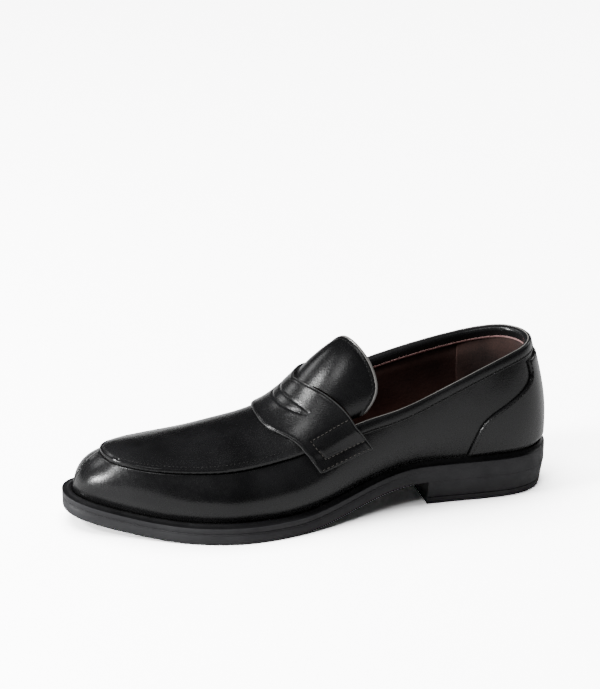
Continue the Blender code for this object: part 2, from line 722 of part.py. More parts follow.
def make_binding(parent):
    """The folded band along the topline, outside, over the edge and inside."""
    u = np.linspace(-BINDING_END_STATION, BINDING_END_STATION, 37)
    height = wall_height(u)
    outer_low = BINDING_CLEARANCE
    outer_high = BINDING_CLEARANCE + BINDING_LEATHER
    inner_low = LINING_TOP_OFFSET - LINING_LEATHER - BINDING_CLEARANCE
    inner_high = inner_low - BINDING_LEATHER
    outside = 1 - BINDING_OUTSIDE / height
    inside = 1 - BINDING_INSIDE / height
    over = 1 + outer_low / height
    top = 1 + outer_high / height
    corners = [
        wall(u, outside, outer_low), wall(u, outside, outer_high), wall(u, top, outer_high),
        wall(u, top, inner_high), wall(u, inside, inner_high), wall(u, inside, inner_low),
        wall(u, over, inner_low), wall(u, over, outer_low),
    ]
    loft("topline_binding", np.stack(corners, axis=1), "black_leather", parent)


def patch(name, first, last, rows, distance, thickness, material_name, parent):
    """A piece of lining or stiffener on the wall between two stations."""
    u = ring_columns(first, last)[:, None]
    leather(name, wall(u, rows[None, :], distance), thickness, material_name, parent, flip=True)


def lining_offset(t):
    return LINING_OFFSET + (LINING_TOP_OFFSET - LINING_OFFSET) * ease((t - 0.76) / 0.12)


def lining_seam_station(a):
    """Where the quarter linings end and the vamp lining begins, under the strap's back edge."""
    return station_at(strap_x(np.minimum(np.abs(a), STRAP_END), STRAP_BACK_X) + 1.2)


def quarter_lining(name, sign, parent):
    """One side's lining; its front edge slants with the strap."""
    rows = wall_rows(LINING_FOOT, 1.0)
    front = lining_seam_station(2 - rows) - LINING_SEAM
    columns = ring_columns(HEEL_GRIP_STATION, front.min())
    share = (columns - columns[0]) / (columns[-1] - columns[0])
    slanted = columns[:, None] + (front - columns[-1])[None, :] * ease((share[:, None] - 0.5) / 0.5)
    points = wall(sign * slanted, rows[None, :], lining_offset(rows))
    leather(name, points, LINING_LEATHER, "burgundy_leather", parent, flip=sign > 0)


def make_linings(parent):
    quarter_lining("quarter_lining_lateral", 1, parent)
    quarter_lining("quarter_lining_medial", -1, parent)
    grip = HEEL_GRIP_STATION - LINING_SEAM
    rows = wall_rows(LINING_FOOT, 1.0)
    patch("heel_grip", -grip, grip, rows, lining_offset(rows), LINING_LEATHER, "suede", parent)
    stiff = (STIFFENER_OFFSET, STIFFENER, "fibre_board", parent)
    patch("heel_counter", -COUNTER_STATION, COUNTER_STATION, wall_rows(*COUNTER_ROWS), *stiff)
    patch("toe_puff", *PUFF_STATIONS, wall_rows(*PUFF_ROWS), *stiff)

    down = np.array([1.82, 1.6, 1.3, 1.1])
    a = np.concatenate([-down, ARCH_ROWS[::2], down[::-1]])[None, :]
    first = lining_seam_station(a) + LINING_SEAM
    share = np.concatenate([np.linspace(0, 0.4, 6), np.linspace(0.52, 1, 5)])[:, None]
    k = first + (VAMP_LINING_END - first) * share
    distance = VAMP_LINING_OFFSET + (APRON_LINING_OFFSET - VAMP_LINING_OFFSET) * ease((0.95 - np.abs(a)) / 0.3)
    leather("vamp_lining", across(k, a, distance), LINING_LEATHER, "burgundy_leather", parent)


def strap_stitching(name, sign, parent):
    """Round the box at one end of the strap: along the top, down the front and back along the bottom."""
    lift = STRAP_LEATHER + THREAD_LIFT
    top, bottom = BOX_ACROSS
    front, back = BOX_SHARE
    upper = strap_point(sign * top, np.linspace(back, front, 8)[:-1], lift)
    down = strap_point(sign * np.linspace(top, bottom, 6), front, lift)
    lower = strap_point(sign * bottom, np.linspace(front, back, 8)[1:], lift)
    thread(name, np.vstack([upper, down, lower]), parent)


def topline_stitching(parent):
    end = BINDING_END_STATION - 0.1
    u = np.linspace(-end, end, 35)
    height = 1 - (BINDING_OUTSIDE - STITCH_FROM_EDGE) / wall_height(u)
    line = wall(u, height, BINDING_CLEARANCE + BINDING_LEATHER + THREAD_LIFT)
    thread("topline_stitching", line, parent)


def foxing_stitching(name, sign, parent):
    heights = np.linspace(FOXING_FOOT + 0.015, FOXING_TOP - 0.02, 20)
    reach = cubic(FOXING_HEIGHT, FOXING_STATION, heights) - FOXING_STITCH_FROM_EDGE
    line = wall(sign * reach, heights, FOXING_OFFSET + FOXING_LEATHER + THREAD_LIFT)
    thread(name, line, parent)


def tongue_stitching(tongue_root):
    w = np.linspace(-0.9, 0.9, 23)
    x = cubic(TONGUE_ACROSS, TONGUE_EDGE_X, w) + TONGUE_STITCH_FROM_EDGE
    line = tongue_point(x, w, APRON_OFFSET + THREAD_LIFT) - np.array(tongue_root.location) / MM
    thread("tongue_stitching", line, tongue_root)


def make_threads(parent, tongue_root):
    for side, sign in (("lateral", 1), ("medial", -1)):
        strap_stitching(f"strap_stitching_{side}", sign, parent)
        foxing_stitching(f"foxing_stitching_{side}", sign, parent)
    topline_stitching(parent)
    tongue_stitching(tongue_root)


def make_upper(parent, tongue_root):
    make_side("lateral_side", SEAM, STATIONS - SEAM, parent)
    make_side("medial_side", STATIONS + SEAM, 2 * STATIONS - SEAM, parent)
    make_apron(parent)
    make_strap(parent)
    make_tongue(tongue_root)
    make_foxing(parent)
    make_binding(parent)
    make_linings(parent)
    make_threads(parent, tongue_root)


# ---------------------------------------------------------------- the shoe
def main():
    clear_scene()
    for name in ("penny_loafer", "cutters"):
        bpy.context.scene.collection.children.link(bpy.data.collections.new(name))
    last = bpy.data.objects.new("last", None)
    bpy.context.scene.collection.objects.link(last)
    last.location = (-LENGTH / 2 * MM, 0.0, 0.0)
    tongue_root = bpy.data.objects.new("tongue_root", None)
    bpy.context.scene.collection.objects.link(tongue_root)
    tongue_root.parent = last
    ridge_x = STRAP_BACK_X[0]
    ridge_z = float(cubic(CROWN_X, CROWN_Z, ridge_x)) + APRON_OFFSET
    tongue_root.location = (ridge_x * MM, 0.0, ridge_z * MM)
    bpy.context.view_layer.update()
    make_bottom(last)
    make_upper(last, tongue_root)


main()
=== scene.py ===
"""Finished look of a black penny loafer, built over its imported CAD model.

Lengths in this file are millimetres, as a shoemaker measures, with x = 0 at the back of the heel, and
become metres in the model's frame where a mesh is made.
"""

import math

import bpy
import bmesh
import numpy as np
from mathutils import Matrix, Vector
from mathutils.bvhtree import BVHTree


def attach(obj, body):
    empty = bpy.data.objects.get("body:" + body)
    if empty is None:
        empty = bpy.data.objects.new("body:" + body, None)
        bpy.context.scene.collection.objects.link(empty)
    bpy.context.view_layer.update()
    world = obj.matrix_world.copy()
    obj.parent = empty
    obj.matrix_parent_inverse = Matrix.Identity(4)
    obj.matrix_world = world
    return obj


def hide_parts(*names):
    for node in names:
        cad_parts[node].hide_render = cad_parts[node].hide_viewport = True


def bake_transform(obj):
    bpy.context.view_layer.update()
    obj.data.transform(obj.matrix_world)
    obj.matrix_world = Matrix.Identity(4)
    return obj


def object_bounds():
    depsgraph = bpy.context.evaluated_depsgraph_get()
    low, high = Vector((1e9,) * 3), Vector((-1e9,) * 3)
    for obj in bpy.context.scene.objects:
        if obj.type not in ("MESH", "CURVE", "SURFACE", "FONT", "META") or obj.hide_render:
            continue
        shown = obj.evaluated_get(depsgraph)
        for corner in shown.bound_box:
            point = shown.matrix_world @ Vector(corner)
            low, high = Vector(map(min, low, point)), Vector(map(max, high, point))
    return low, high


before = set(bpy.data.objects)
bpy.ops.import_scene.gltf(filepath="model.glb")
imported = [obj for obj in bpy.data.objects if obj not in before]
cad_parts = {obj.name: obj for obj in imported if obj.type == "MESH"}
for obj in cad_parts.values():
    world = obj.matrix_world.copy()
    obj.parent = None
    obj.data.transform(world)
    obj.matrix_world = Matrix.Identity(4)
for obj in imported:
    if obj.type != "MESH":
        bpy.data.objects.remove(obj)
CAD_BOX = [[float(x) for x in corner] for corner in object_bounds()]

MM = 0.001
BODY = "shoe"

# ================================================================ the last and the sole: the CAD's design
LENGTH = 300.0
HEEL_RADIUS = 31.0
# Station 0 is the middle of the heel's back. Stations 1 to 15 run forward along the lateral side, 16 is
# the toe, and 17 to 31 come back along the medial side.
STATIONS = 16
LAST_FULL_STATION = 14.7
STATION_X = (55, 80, 105, 130, 155, 180, 205, 230, 252, 270, 285, 296)
LATERAL_Y = (31.0, 30.1, 32.0, 38.3, 46.0, 51.4, 51.8, 45.2, 35.2, 25.8, 17.8, 8.6)
MEDIAL_Y = (-31.0, -28.4, -25.8, -27.3, -34.0, -44.8, -51.9, -51.2, -45.2, -37.2, -28.4, -17.6)
TOE_Y = -4.0
HEEL_ARC_X = (4.0, 14.0, HEEL_RADIUS)
HEEL_SEAT_Z = 26.2
TREAD_Z = 10.5
WAIST_BACK_X = 85.0
WAIST_FRONT_X = 172.0
TREAD_END_X = 225.0
TOE_SPRING = 10.1
SOLE_THICKNESS = 10.5
WELT_THICKNESS = 3.3
GAP = 0.3
HEEL_BREAST_X = 83.0
HEEL_TAPER = 2.3
LIFT_THICKNESS = 4.3

# Upper, station by station from heel to toe: how far inside the sole's edge it stands, and its bulge.
FEATHER_INSET = (2.8, 3.2, 4.0, 4.5, 4.5, 4.8, 5.3, 5.8, 6.2, 6.3, 6.3, 6.3, 6.3, 6.3, 6.4, 6.5, 6.5)
WALL_BULGE_LATERAL = (3.2, 3.6, 4.4, 5.0, 5.0, 5.5, 6.0, 6.3, 6.5, 7.0, 7.0, 6.5, 5.6, 5.0, 4.5, 4.2, 4.1)
WALL_BULGE_MEDIAL = (3.2, 3.6, 4.4, 5.0, 5.0, 4.8, 4.6, 5.2, 6.2, 7.0, 7.5, 7.6, 7.4, 7.2, 6.8, 5.6, 4.1)
# The rail is the top of the side walls: the topline behind the strap, the apron's edge before it.
RAIL_BACK = (12.5, 0.0, 93.8)
RAIL_LATERAL = (
    (15.0, 10.5, 93.6), (22.5, 19.5, 92.6), (36.0, 25.5, 89.8), (55.0, 29.5, 83.8),
    (80.0, 32.0, 74.2), (105.0, 33.5, 65.4), (130.0, 34.3, 59.4), (155.0, 35.2, 48.5),
    (180.0, 36.6, 42.8), (205.0, 38.0, 40.6), (229.0, 35.8, 41.3), (249.0, 30.8, 42.6),
    (262.0, 24.0, 43.4), (271.0, 15.8, 43.8), (275.4, 6.5, 43.8),
)
RAIL_MEDIAL = (
    (15.0, -10.5, 93.6), (22.5, -19.5, 92.8), (36.0, -25.5, 90.4), (55.0, -29.5, 86.2),
    (80.0, -31.0, 80.6), (105.0, -31.6, 74.0), (130.0, -32.5, 64.6), (155.0, -34.0, 51.0),
    (180.0, -34.8, 43.8), (205.0, -34.4, 40.2), (229.0, -32.4, 38.8), (249.0, -27.8, 39.2),
    (261.0, -21.8, 40.6), (270.0, -15.0, 42.0), (274.4, -9.0, 43.2),
)
RAIL_TOE = (276.4, -3.2, 43.8)
# Height of the ridge over the foot, under the apron, strap and tongue.
CROWN_X = (113.0, 122.0, 131.5, 142.5, 156.6, 168.0, 183.0, 204.0, 228.0, 252.0, 264.0, 271.0, 276.4)
CROWN_Z = (103.0, 102.6, 99.8, 92.4, 78.8, 67.6, 58.2, 52.6, 48.6, 47.4, 47.2, 46.3, 43.8)

# Edges of the strap, tongue and foxing. Across the shoe, 0 is the ridge and 1 the rail; beyond 1 is down
# the side wall.
STRAP_ACROSS = (0.0, 0.2, 0.45, 0.72, 0.94, 1.12, 1.38)
STRAP_FRONT_X = (183.0, 182.6, 180.2, 171.8, 163.5, 159.4, 154.8)
STRAP_BACK_X = (156.8, 154.6, 148.8, 139.8, 132.0, 127.2, 121.2)
STRAP_END = 1.38
TONGUE_ACROSS = (-1.0, -0.91, -0.80, -0.64, -0.45, -0.24, 0.0, 0.24, 0.45, 0.64, 0.80, 0.91, 1.0)
TONGUE_EDGE_X = (127.5, 126.5, 127.5, 130.0, 132.0, 130.5, 127.0, 122.5, 118.3, 115.8, 116.4, 121.0, 127.5)
TONGUE_TUCK = 9.0
FOXING_HEIGHT = (0.0, 0.14, 0.36, 0.48, 0.56, 0.63, 0.70, 0.78, 0.88)
FOXING_STATION = (4.2, 4.12, 3.92, 3.66, 3.15, 2.5, 2.0, 1.85, 1.9)

# ================================================================ details of the visual
WELT_WIDTH = 13.0
SLOT_END = 0.66
SLOT_CENTRE = 0.585
SLOT_HALF_WIDTH = 0.10
STRAP_WIDTH = 27.0
STRAP_THICKNESS = 1.6
STRAP_SPAN = 150.0
MM_ACROSS = 55.0  # millimetres round the shoe for one unit across
APRON_STITCH_INSET = 2.1
BAND_END = 7.08  # station where the topline band ends, under the strap
LINING_BACK_STATION = 3.50
GRIP_END_STATION = 3.68  # laps over the front of the quarter linings
LINING_HEIGHTS = (0.10, 0.985)  # as shares of the side wall, like the foxing's
FOXING_HEIGHTS = (0.075, 0.88)
SOCK_EDGE_RISE = 6.5
SOCK_EDGE_DEPTH = 4.45
BOX_ACROSS = (0.92, 1.21)  # the stitched boxes at the strap's ends
BOX_SHARE = (0.22, 0.95)
TONGUE_SIDE = 0.98

# ================================================================ studio, in metres in the frame
WORLD_STRENGTH = 0.012
SKY_LIGHT = 7.5  # lights the floor evenly and is left out of reflections, as in a studio tent
SKY_ANGLE = 50.0
SKY_PLACE = (0.15, -0.28, 1.5)
FLOOR_HALF = 40.0
FLOOR_DROP = 0.0001
FLOOR_PAPER = ((0.39, 0.39, 0.392), (0.41, 0.41, 0.412))
FLOOR_EXPOSURE = 3.1
# Softboxes: what they face, where they stand from there (azimuth, elevation, distance), side, radiance.
SOFTBOXES = (
    ("toe_box", (0.13, 0.015, 0.034), 4.0, 16.0, 1.5, 0.20, 300.0),
    ("strap_box", (0.015, 0.015, 0.07), 8.0, 40.0, 1.6, 0.30, 72.0),
    ("key_box", (0.0, 0.02, 0.08), 48.0, 52.0, 1.8, 0.44, 9.0),
    ("heel_box", (-0.05, 0.0, 0.06), -148.0, 30.0, 1.8, 0.50, 6.0),
    ("medial_box", (0.05, 0.0, 0.05), -42.0, 34.0, 1.8, 0.45, 7.0),
)
CAMERA_LENS = 97.04
CAMERA_PLACE = (0.25232, 0.98966, 0.51275)
CAMERA_FORWARD = (-0.22432, -0.89969, -0.37448)


# ================================================================ curves
def spline(knots, values):
    """The natural cubic spline through values at knots, as a function."""
    knots = np.asarray(knots, float)
    values = np.asarray(values, float)
    steps = np.diff(knots)
    slopes = (np.diff(values, axis=0).T / steps).T
    system = np.eye(len(knots))
    bends = np.zeros_like(values)
    for i in range(1, len(knots) - 1):
        system[i, i - 1 : i + 2] = steps[i - 1], 2 * (steps[i - 1] + steps[i]), steps[i]
        bends[i] = 6 * (slopes[i] - slopes[i - 1])
    second = np.linalg.solve(system, bends)

    def at(place):
        place = np.asarray(place, float)
        i = np.clip(np.searchsorted(knots, place) - 1, 0, len(steps) - 1)
        h = steps[i]
        before = (knots[i + 1] - place) / h
        after = (place - knots[i]) / h
        if values.ndim == 2:
            h, before, after = h[..., None], before[..., None], after[..., None]
        curve = before * values[i] + after * values[i + 1]
        return curve + ((before**3 - before) * second[i] + (after**3 - after) * second[i + 1]) * h**2 / 6

    return at


def ring_spline(values):
    values = np.asarray(values, float)
    count = len(values)
    margin = 8
    wrapped = np.concatenate([values[-margin:], values, values[: margin + 1]])
    curve = spline(np.arange(-margin, count + margin + 1), wrapped)
    return lambda at: curve(np.mod(at, count))


def ease(x):
    x = np.clip(x, 0.0, 1.0)
    return x * x * (3 - 2 * x)


def bump(x, width):
    """1 at x = 0, falling smoothly to nothing a few widths away."""
    return np.exp(-((np.asarray(x) / width) ** 2))


def all_round(heel, lateral, medial, toe):
    return np.array([heel, *lateral, toe, *list(medial)[::-1]], float)


def sole_outline_points():
    arc = [(x, math.sqrt(HEEL_RADIUS**2 - (HEEL_RADIUS - x) ** 2)) for x in HEEL_ARC_X]
    lateral = arc + list(zip(STATION_X, LATERAL_Y))
    medial = [(x, -y) for x, y in arc] + list(zip(STATION_X, MEDIAL_Y))
    return all_round((0.0, 0.0), lateral, medial, (LENGTH, TOE_Y))


outline_at = ring_spline(sole_outline_points())
rail_at = ring_spline(all_round(RAIL_BACK, RAIL_LATERAL, RAIL_MEDIAL, RAIL_TOE))
inset_at = ring_spline(
    all_round(FEATHER_INSET[0], FEATHER_INSET[1:-1], FEATHER_INSET[1:-1], FEATHER_INSET[-1])
)
bulge_at = ring_spline(
    all_round(
        WALL_BULGE_LATERAL[0], WALL_BULGE_LATERAL[1:-1], WALL_BULGE_MEDIAL[1:-1], WALL_BULGE_LATERAL[-1]
    )
)
crown_at = spline(CROWN_X, CROWN_Z)
strap_front_at = spline(STRAP_ACROSS, STRAP_FRONT_X)
strap_back_at = spline(STRAP_ACROSS, STRAP_BACK_X)
tongue_edge_at = spline(TONGUE_ACROSS, TONGUE_EDGE_X)
foxing_at = spline(FOXING_HEIGHT, FOXING_STATION)


def outline(u, inset=0.0):
    step = 0.02
    u = np.asarray(u, float)
    along = outline_at(u + step) - outline_at(u - step)
    along /= np.linalg.norm(along, axis=-1, keepdims=True)
    outward = np.stack([-along[..., 1], along[..., 0]], axis=-1)
    return outline_at(u) - outward * np.asarray(inset)[..., None], outward


def welt_top(x):
    waist = ease((WAIST_FRONT_X - x) / (WAIST_FRONT_X - WAIST_BACK_X))
    spring = np.clip((x - TREAD_END_X) / (LENGTH - TREAD_END_X), 0.0, None) ** 2
    return TREAD_Z + (HEEL_SEAT_Z - TREAD_Z) * waist + TOE_SPRING * spring


def bead_rise(x):
    return 1.6 + 1.2 * ease((WAIST_FRONT_X - x) / (WAIST_FRONT_X - WAIST_BACK_X))


def tread(x):
    return np.maximum(welt_top(x) - SOLE_THICKNESS, 0.0)


# ================================================================ the skin
def wall_surface(u, t):
    u, t = np.broadcast_arrays(np.asarray(u, float), np.asarray(t, float))
    foot, outward = outline(u, inset_at(u))
    foot = np.concatenate([foot, welt_top(foot[..., :1]) + GAP], axis=-1)
    outward = np.concatenate([outward, np.zeros_like(outward[..., :1])], axis=-1)
    chord = rail_at(u) - foot
    unit = chord / np.linalg.norm(chord, axis=-1, keepdims=True)
    push = outward - unit * (outward * unit).sum(-1, keepdims=True)
    push /= np.linalg.norm(push, axis=-1, keepdims=True)
    bulge = bulge_at(u) * np.sin(math.pi * np.clip(t, 0.0, None) ** 0.88)
    return foot + chord * t[..., None] + push * bulge[..., None]


def arch_surface(k, w):
    k, w = np.broadcast_arrays(np.asarray(k, float), np.asarray(w, float))
    lateral = rail_at(k)
    medial = rail_at(2 * STATIONS - k)
    middle = (lateral + medial) / 2
    point = middle + (lateral - medial) / 2 * w[..., None]
    crown = crown_at(middle[..., 0])
    power = 1.75 + 0.45 * ease((middle[..., 0] - 150.0) / 60.0)
    point[..., 2] += (crown - middle[..., 2]) * (1 - np.abs(w) ** power)
    return point


def across_surface(k, a):
    k, a = np.broadcast_arrays(np.asarray(k, float), np.asarray(a, float))
    arch = arch_surface(k, np.clip(a, -1, 1))
    side = wall_surface(np.where(a > 0, k, 2 * STATIONS - k), 2 - np.abs(a))
    return np.where(np.abs(a)[..., None] <= 1, arch, side)


def normals(surface, p, q, step=0.01):
    dp = surface(p + step, q) - surface(p - step, q)
    dq = surface(p, q + step) - surface(p, q - step)
    normal = np.cross(dp, dq)
    return normal / np.linalg.norm(normal, axis=-1, keepdims=True)


def wall(u, t, distance=0.0):
    u, t, distance = np.broadcast_arrays(np.asarray(u, float), t, distance)
    return wall_surface(u, t) - normals(wall_surface, u, t) * distance[..., None]


def half_width(k):
    return (rail_at(k)[..., 1] - rail_at(2 * STATIONS - k)[..., 1]) / 2


def across(k, a, distance=0.0):
    k, a, distance = np.broadcast_arrays(np.asarray(k, float), a, distance)
    on_arch = np.abs(a) <= 1
    near = np.where(on_arch, np.minimum(k, LAST_FULL_STATION), k)
    same_place = np.where(on_arch, a * half_width(k) / half_width(near), a)
    normal = normals(across_surface, near, same_place, 0.02)
    return across_surface(k, a) + normal * distance[..., None]


def station_at(x):
    k = np.linspace(3, 14, 500)
    return np.interp(x, rail_at(k)[:, 0], k)


def wall_height(u):
    return np.linalg.norm(wall_surface(u, 1.0) - wall_surface(u, 0.0), axis=-1)


# ================================================================ mesh making
def smooth_noise(points, scale, seed):
    """Soft waves between about -1 and 1 over a grid of points; scale is their size."""
    generator = np.random.default_rng(seed)
    total = np.zeros(points.shape[:-1])
    for _ in range(7):
        direction = generator.normal(size=3)
        direction *= generator.uniform(0.7, 1.6) / np.linalg.norm(direction) * 2 * math.pi / scale
        total += np.sin(points @ direction + generator.uniform(0, 2 * math.pi))
    return total / 3.5


def quads(rows, columns, wrap=False):
    span = columns if wrap else columns - 1
    faces = []
    for i in range(rows - 1):
        here, ahead = i * columns, (i + 1) * columns
        for j in range(span):
            beside = (j + 1) % columns
            faces.append((here + j, ahead + j, ahead + beside, here + beside))
    return faces


def to_frame(points):
    return (np.asarray(points, float).reshape(-1, 3) - (LENGTH / 2, 0.0, 0.0)) * MM


def finish_mesh(name, points, faces, look, slot, body=BODY, replaces=(), join=0.004, face_looks=None):
    mesh = bpy.data.meshes.new(name)
    mesh.from_pydata(to_frame(points).tolist(), [], faces)
    looks = look if isinstance(look, (list, tuple)) else [look]
    for each in looks:
        mesh.materials.append(each)
    if face_looks is not None:
        mesh.polygons.foreach_set("material_index", np.asarray(face_looks, dtype=np.int32))
    bm = bmesh.new()
    bm.from_mesh(mesh)
    bmesh.ops.remove_doubles(bm, verts=bm.verts, dist=join * MM)
    bmesh.ops.dissolve_degenerate(bm, edges=bm.edges, dist=0.002 * MM)
    bmesh.ops.recalc_face_normals(bm, faces=bm.faces)
    bm.to_mesh(mesh)
    bm.free()
    mesh.shade_smooth()
    mesh.set_sharp_from_angle(angle=math.radians(50))
    obj = bpy.data.objects.new(name, mesh)
    bpy.context.scene.collection.objects.link(obj)
    if body:
        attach(obj, body)
    if replaces:
        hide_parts(*replaces)
    return obj


def shell(name, outer, inner, look, slot, **options):
    """A closed sheet between two grids of points; they meet where their borders coincide."""
    rows, columns = outer.shape[:2]
    count = rows * columns
    top = quads(rows, columns)
    bottom = [tuple(count + v for v in face[::-1]) for face in top]
    border = (
        [(i * columns, (i + 1) * columns) for i in range(rows - 1)]
        + [((rows - 1) * columns + j, (rows - 1) * columns + j + 1) for j in range(columns - 1)]
        + [((i + 1) * columns + columns - 1, i * columns + columns - 1) for i in range(rows - 1)]
        + [(j + 1, j) for j in range(columns - 1)]
    )
    rim = [(a, count + a, count + b, b) for a, b in border]
    points = np.concatenate([outer.reshape(-1, 3), inner.reshape(-1, 3)])
    return finish_mesh(name, points, top + bottom + rim, look, slot, **options)


def edge_samples(length, spacing, near_start=True, near_end=True, radius=1.0):
    """Distances from 0 to length, close together near rounded edges and spacing apart between."""
    fine = np.array([0.0, 0.06, 0.2, 0.42, 0.7, 1.0]) * radius
    start = fine if near_start else np.array([0.0])
    end = length - (fine if near_end else np.array([0.0]))[::-1]
    count = max(2, int((end[0] - start[-1]) / spacing))
    middle = np.linspace(start[-1], end[0], count + 1)[1:-1]
    return np.concatenate([start, middle, end])


def rounded(distance, radius):
    """How full a rounded edge is at a distance from it: 0 at the edge, 1 from the radius on."""
    inside = np.clip(1 - np.asarray(distance) / radius, 0, 1)
    return np.sqrt(np.clip(1 - inside**2, 0, 1))


def corner_distance(s, r, radius):
    """Distance to the nearest of two edges, with the corner between them rounded."""
    s, r = np.broadcast_arrays(s, r)
    into = np.hypot(np.clip(radius - s, 0, None), np.clip(radius - r, 0, None))
    return np.where(into > 0, radius - into, np.minimum(s, r))


def stitches(
    name, path, out, look, pitch=2.7, length=2.15, radius=0.27, lift=0.05, body=BODY, replaces=()
):
    """Sewing along a path: one short rounded thread for each stitch, its ends sunk in the leather."""
    path = np.asarray(path, float)
    out = np.broadcast_to(np.asarray(out, float), path.shape)
    run = np.concatenate([[0], np.cumsum(np.linalg.norm(np.diff(path, axis=0), axis=1))])
    count = max(1, int(run[-1] / pitch))
    points, faces = [], []
    sides, rings = 7, 7
    for stitch in range(count):
        middle = (stitch + 0.5) * run[-1] / count
        along = middle + np.linspace(-0.5, 0.5, rings) * length
        centre = np.stack([np.interp(along, run, path[:, i]) for i in range(3)], axis=1)
        up = np.array([np.interp(middle, run, out[:, i]) for i in range(3)])
        tangent = centre[-1] - centre[0]
        tangent /= np.linalg.norm(tangent)
        up = up - tangent * (up @ tangent)
        up /= np.linalg.norm(up)
        side = np.cross(tangent, up)
        shape = np.linspace(-1, 1, rings)
        centre = centre + up * (lift - 0.42 * shape[:, None] ** 4)
        size = radius * np.sqrt(np.clip(1 - shape**6, 0.0, 1))
        first = stitch * rings * sides
        turn = np.linspace(0, 2 * math.pi, sides, endpoint=False)
        wave = np.cos(turn)[None, :, None] * up + np.sin(turn)[None, :, None] * side
        points.append((centre[:, None, :] + wave * size[:, None, None]).reshape(-1, 3))
        faces += [tuple(first + v for v in face) for face in quads(rings, sides, wrap=True)]
    return finish_mesh(
        name, np.concatenate(points), faces, look, "thread", body=body, replaces=replaces, join=0.001
    )


def cord(name, path, radius, look, slot, body=BODY, sides=10):
    """A round cord along a path, its ends tapered and closed."""
    tangent = np.gradient(path, axis=0)
    tangent /= np.linalg.norm(tangent, axis=1, keepdims=True)
    side = np.cross(tangent, (0.0, 0.0, 1.0))
    side /= np.linalg.norm(side, axis=1, keepdims=True)
    up = np.cross(side, tangent)
    turn = np.linspace(0, 2 * math.pi, sides, endpoint=False)[None, :, None]
    steps = np.arange(len(path))
    size = radius * rounded(np.minimum(steps, steps[::-1]) + 0.3, 4)[:, None, None]
    points = path[:, None] + size * (np.cos(turn) * side[:, None] + np.sin(turn) * up[:, None])
    caps = [tuple(range(sides)), tuple((len(path) - 1) * sides + j for j in range(sides))]
    return finish_mesh(name, points, quads(len(path), sides, wrap=True) + caps, look, slot, body=body)


# ================================================================ materials
def new_material(name):
    material = bpy.data.materials.new(name)
    material.use_nodes = True
    tree = material.node_tree
    return material, tree, tree.nodes["Principled BSDF"]


def node(tree, kind, inputs=(), **settings):
    made = tree.nodes.new(kind)
    for key, value in settings.items():
        setattr(made, key, value)
    for key, value in dict(inputs).items():
        if isinstance(value, bpy.types.NodeSocket):
            tree.links.new(value, made.inputs[key])
        else:
            made.inputs[key].default_value = value
    return made


def noise(tree, scale, detail=3.0, roughness=0.55):
    found = node(tree, "ShaderNodeTexNoise", {"Scale": scale, "Detail": detail, "Roughness": roughness})
    tree.links.new(node(tree, "ShaderNodeTexCoord").outputs["Object"], found.inputs["Vector"])
    return found.outputs["Fac"]


def pebbles(tree, scale):
    found = node(tree, "ShaderNodeTexVoronoi", {"Scale": scale}, feature="SMOOTH_F1")
    tree.links.new(node(tree, "ShaderNodeTexCoord").outputs["Object"], found.inputs["Vector"])
    return found.outputs["Distance"]


def blend_value(tree, factor, low, high, low_at=0.35, high_at=0.65):
    found = node(
        tree, "ShaderNodeMapRange",
        {"Value": factor, "From Min": low_at, "From Max": high_at, "To Min": low, "To Max": high},
    )
    return found.outputs["Result"]


def blend_colour(tree, factor, low, high):
    mixed = node(tree, "ShaderNodeMix", data_type="RGBA")
    tree.links.new(factor, mixed.inputs["Factor"])
    mixed.inputs[6].default_value = (*low, 1.0)
    mixed.inputs[7].default_value = (*high, 1.0)
    return mixed.outputs[2]


def add(tree, first, second, weight=1.0):
    scaled = node(tree, "ShaderNodeMath", {0: second, 1: weight}, operation="MULTIPLY")
    return node(tree, "ShaderNodeMath", {0: first, 1: scaled.outputs[0]}, operation="ADD").outputs[0]


def bump_from(tree, height, distance):
    found = node(tree, "ShaderNodeBump", {"Height": height, "Distance": distance, "Strength": 1.0})
    return found.outputs["Normal"]


def leather_material(name, dark, light, roughness, grain, specular=0.5):
    """Smooth grain leather: fine pores over soft creases, a little uneven in colour and polish."""
    material, tree, shader = new_material(name)
    cloud = noise(tree, 28.0, 4.0)
    shader.inputs["Specular IOR Level"].default_value = specular
    colour = blend_colour(tree, blend_value(tree, cloud, 0.0, 1.0), dark, light)
    tree.links.new(colour, shader.inputs["Base Color"])
    polish = add(tree, noise(tree, 300.0, 3.0), noise(tree, 1400.0, 2.0), 0.5)
    tree.links.new(blend_value(tree, polish, *roughness, 0.5, 0.85), shader.inputs["Roughness"])
    pores = add(tree, pebbles(tree, 1500.0), noise(tree, 700.0, 4.0), 0.9)
    height = add(tree, pores, noise(tree, 240.0, 2.0), 0.45)
    tree.links.new(bump_from(tree, height, grain), shader.inputs["Normal"])
    return material


def rubber_material(name, dark, light, roughness=0.55):
    material, tree, shader = new_material(name)
    shader.inputs["Specular IOR Level"].default_value = 0.27
    cloud = noise(tree, 40.0, 5.0)
    colour = blend_colour(tree, blend_value(tree, cloud, 0.0, 1.0), dark, light)
    tree.links.new(colour, shader.inputs["Base Color"])
    dust = add(tree, noise(tree, 120.0, 4.0), noise(tree, 2200.0, 2.0), 0.4)
    dulled = blend_value(tree, dust, roughness - 0.08, roughness + 0.12, 0.5, 0.9)
    tree.links.new(dulled, shader.inputs["Roughness"])
    height = add(tree, noise(tree, 2600.0, 3.0), noise(tree, 420.0, 3.0), 0.8)
    tree.links.new(bump_from(tree, height, 0.00006), shader.inputs["Normal"])
    return material


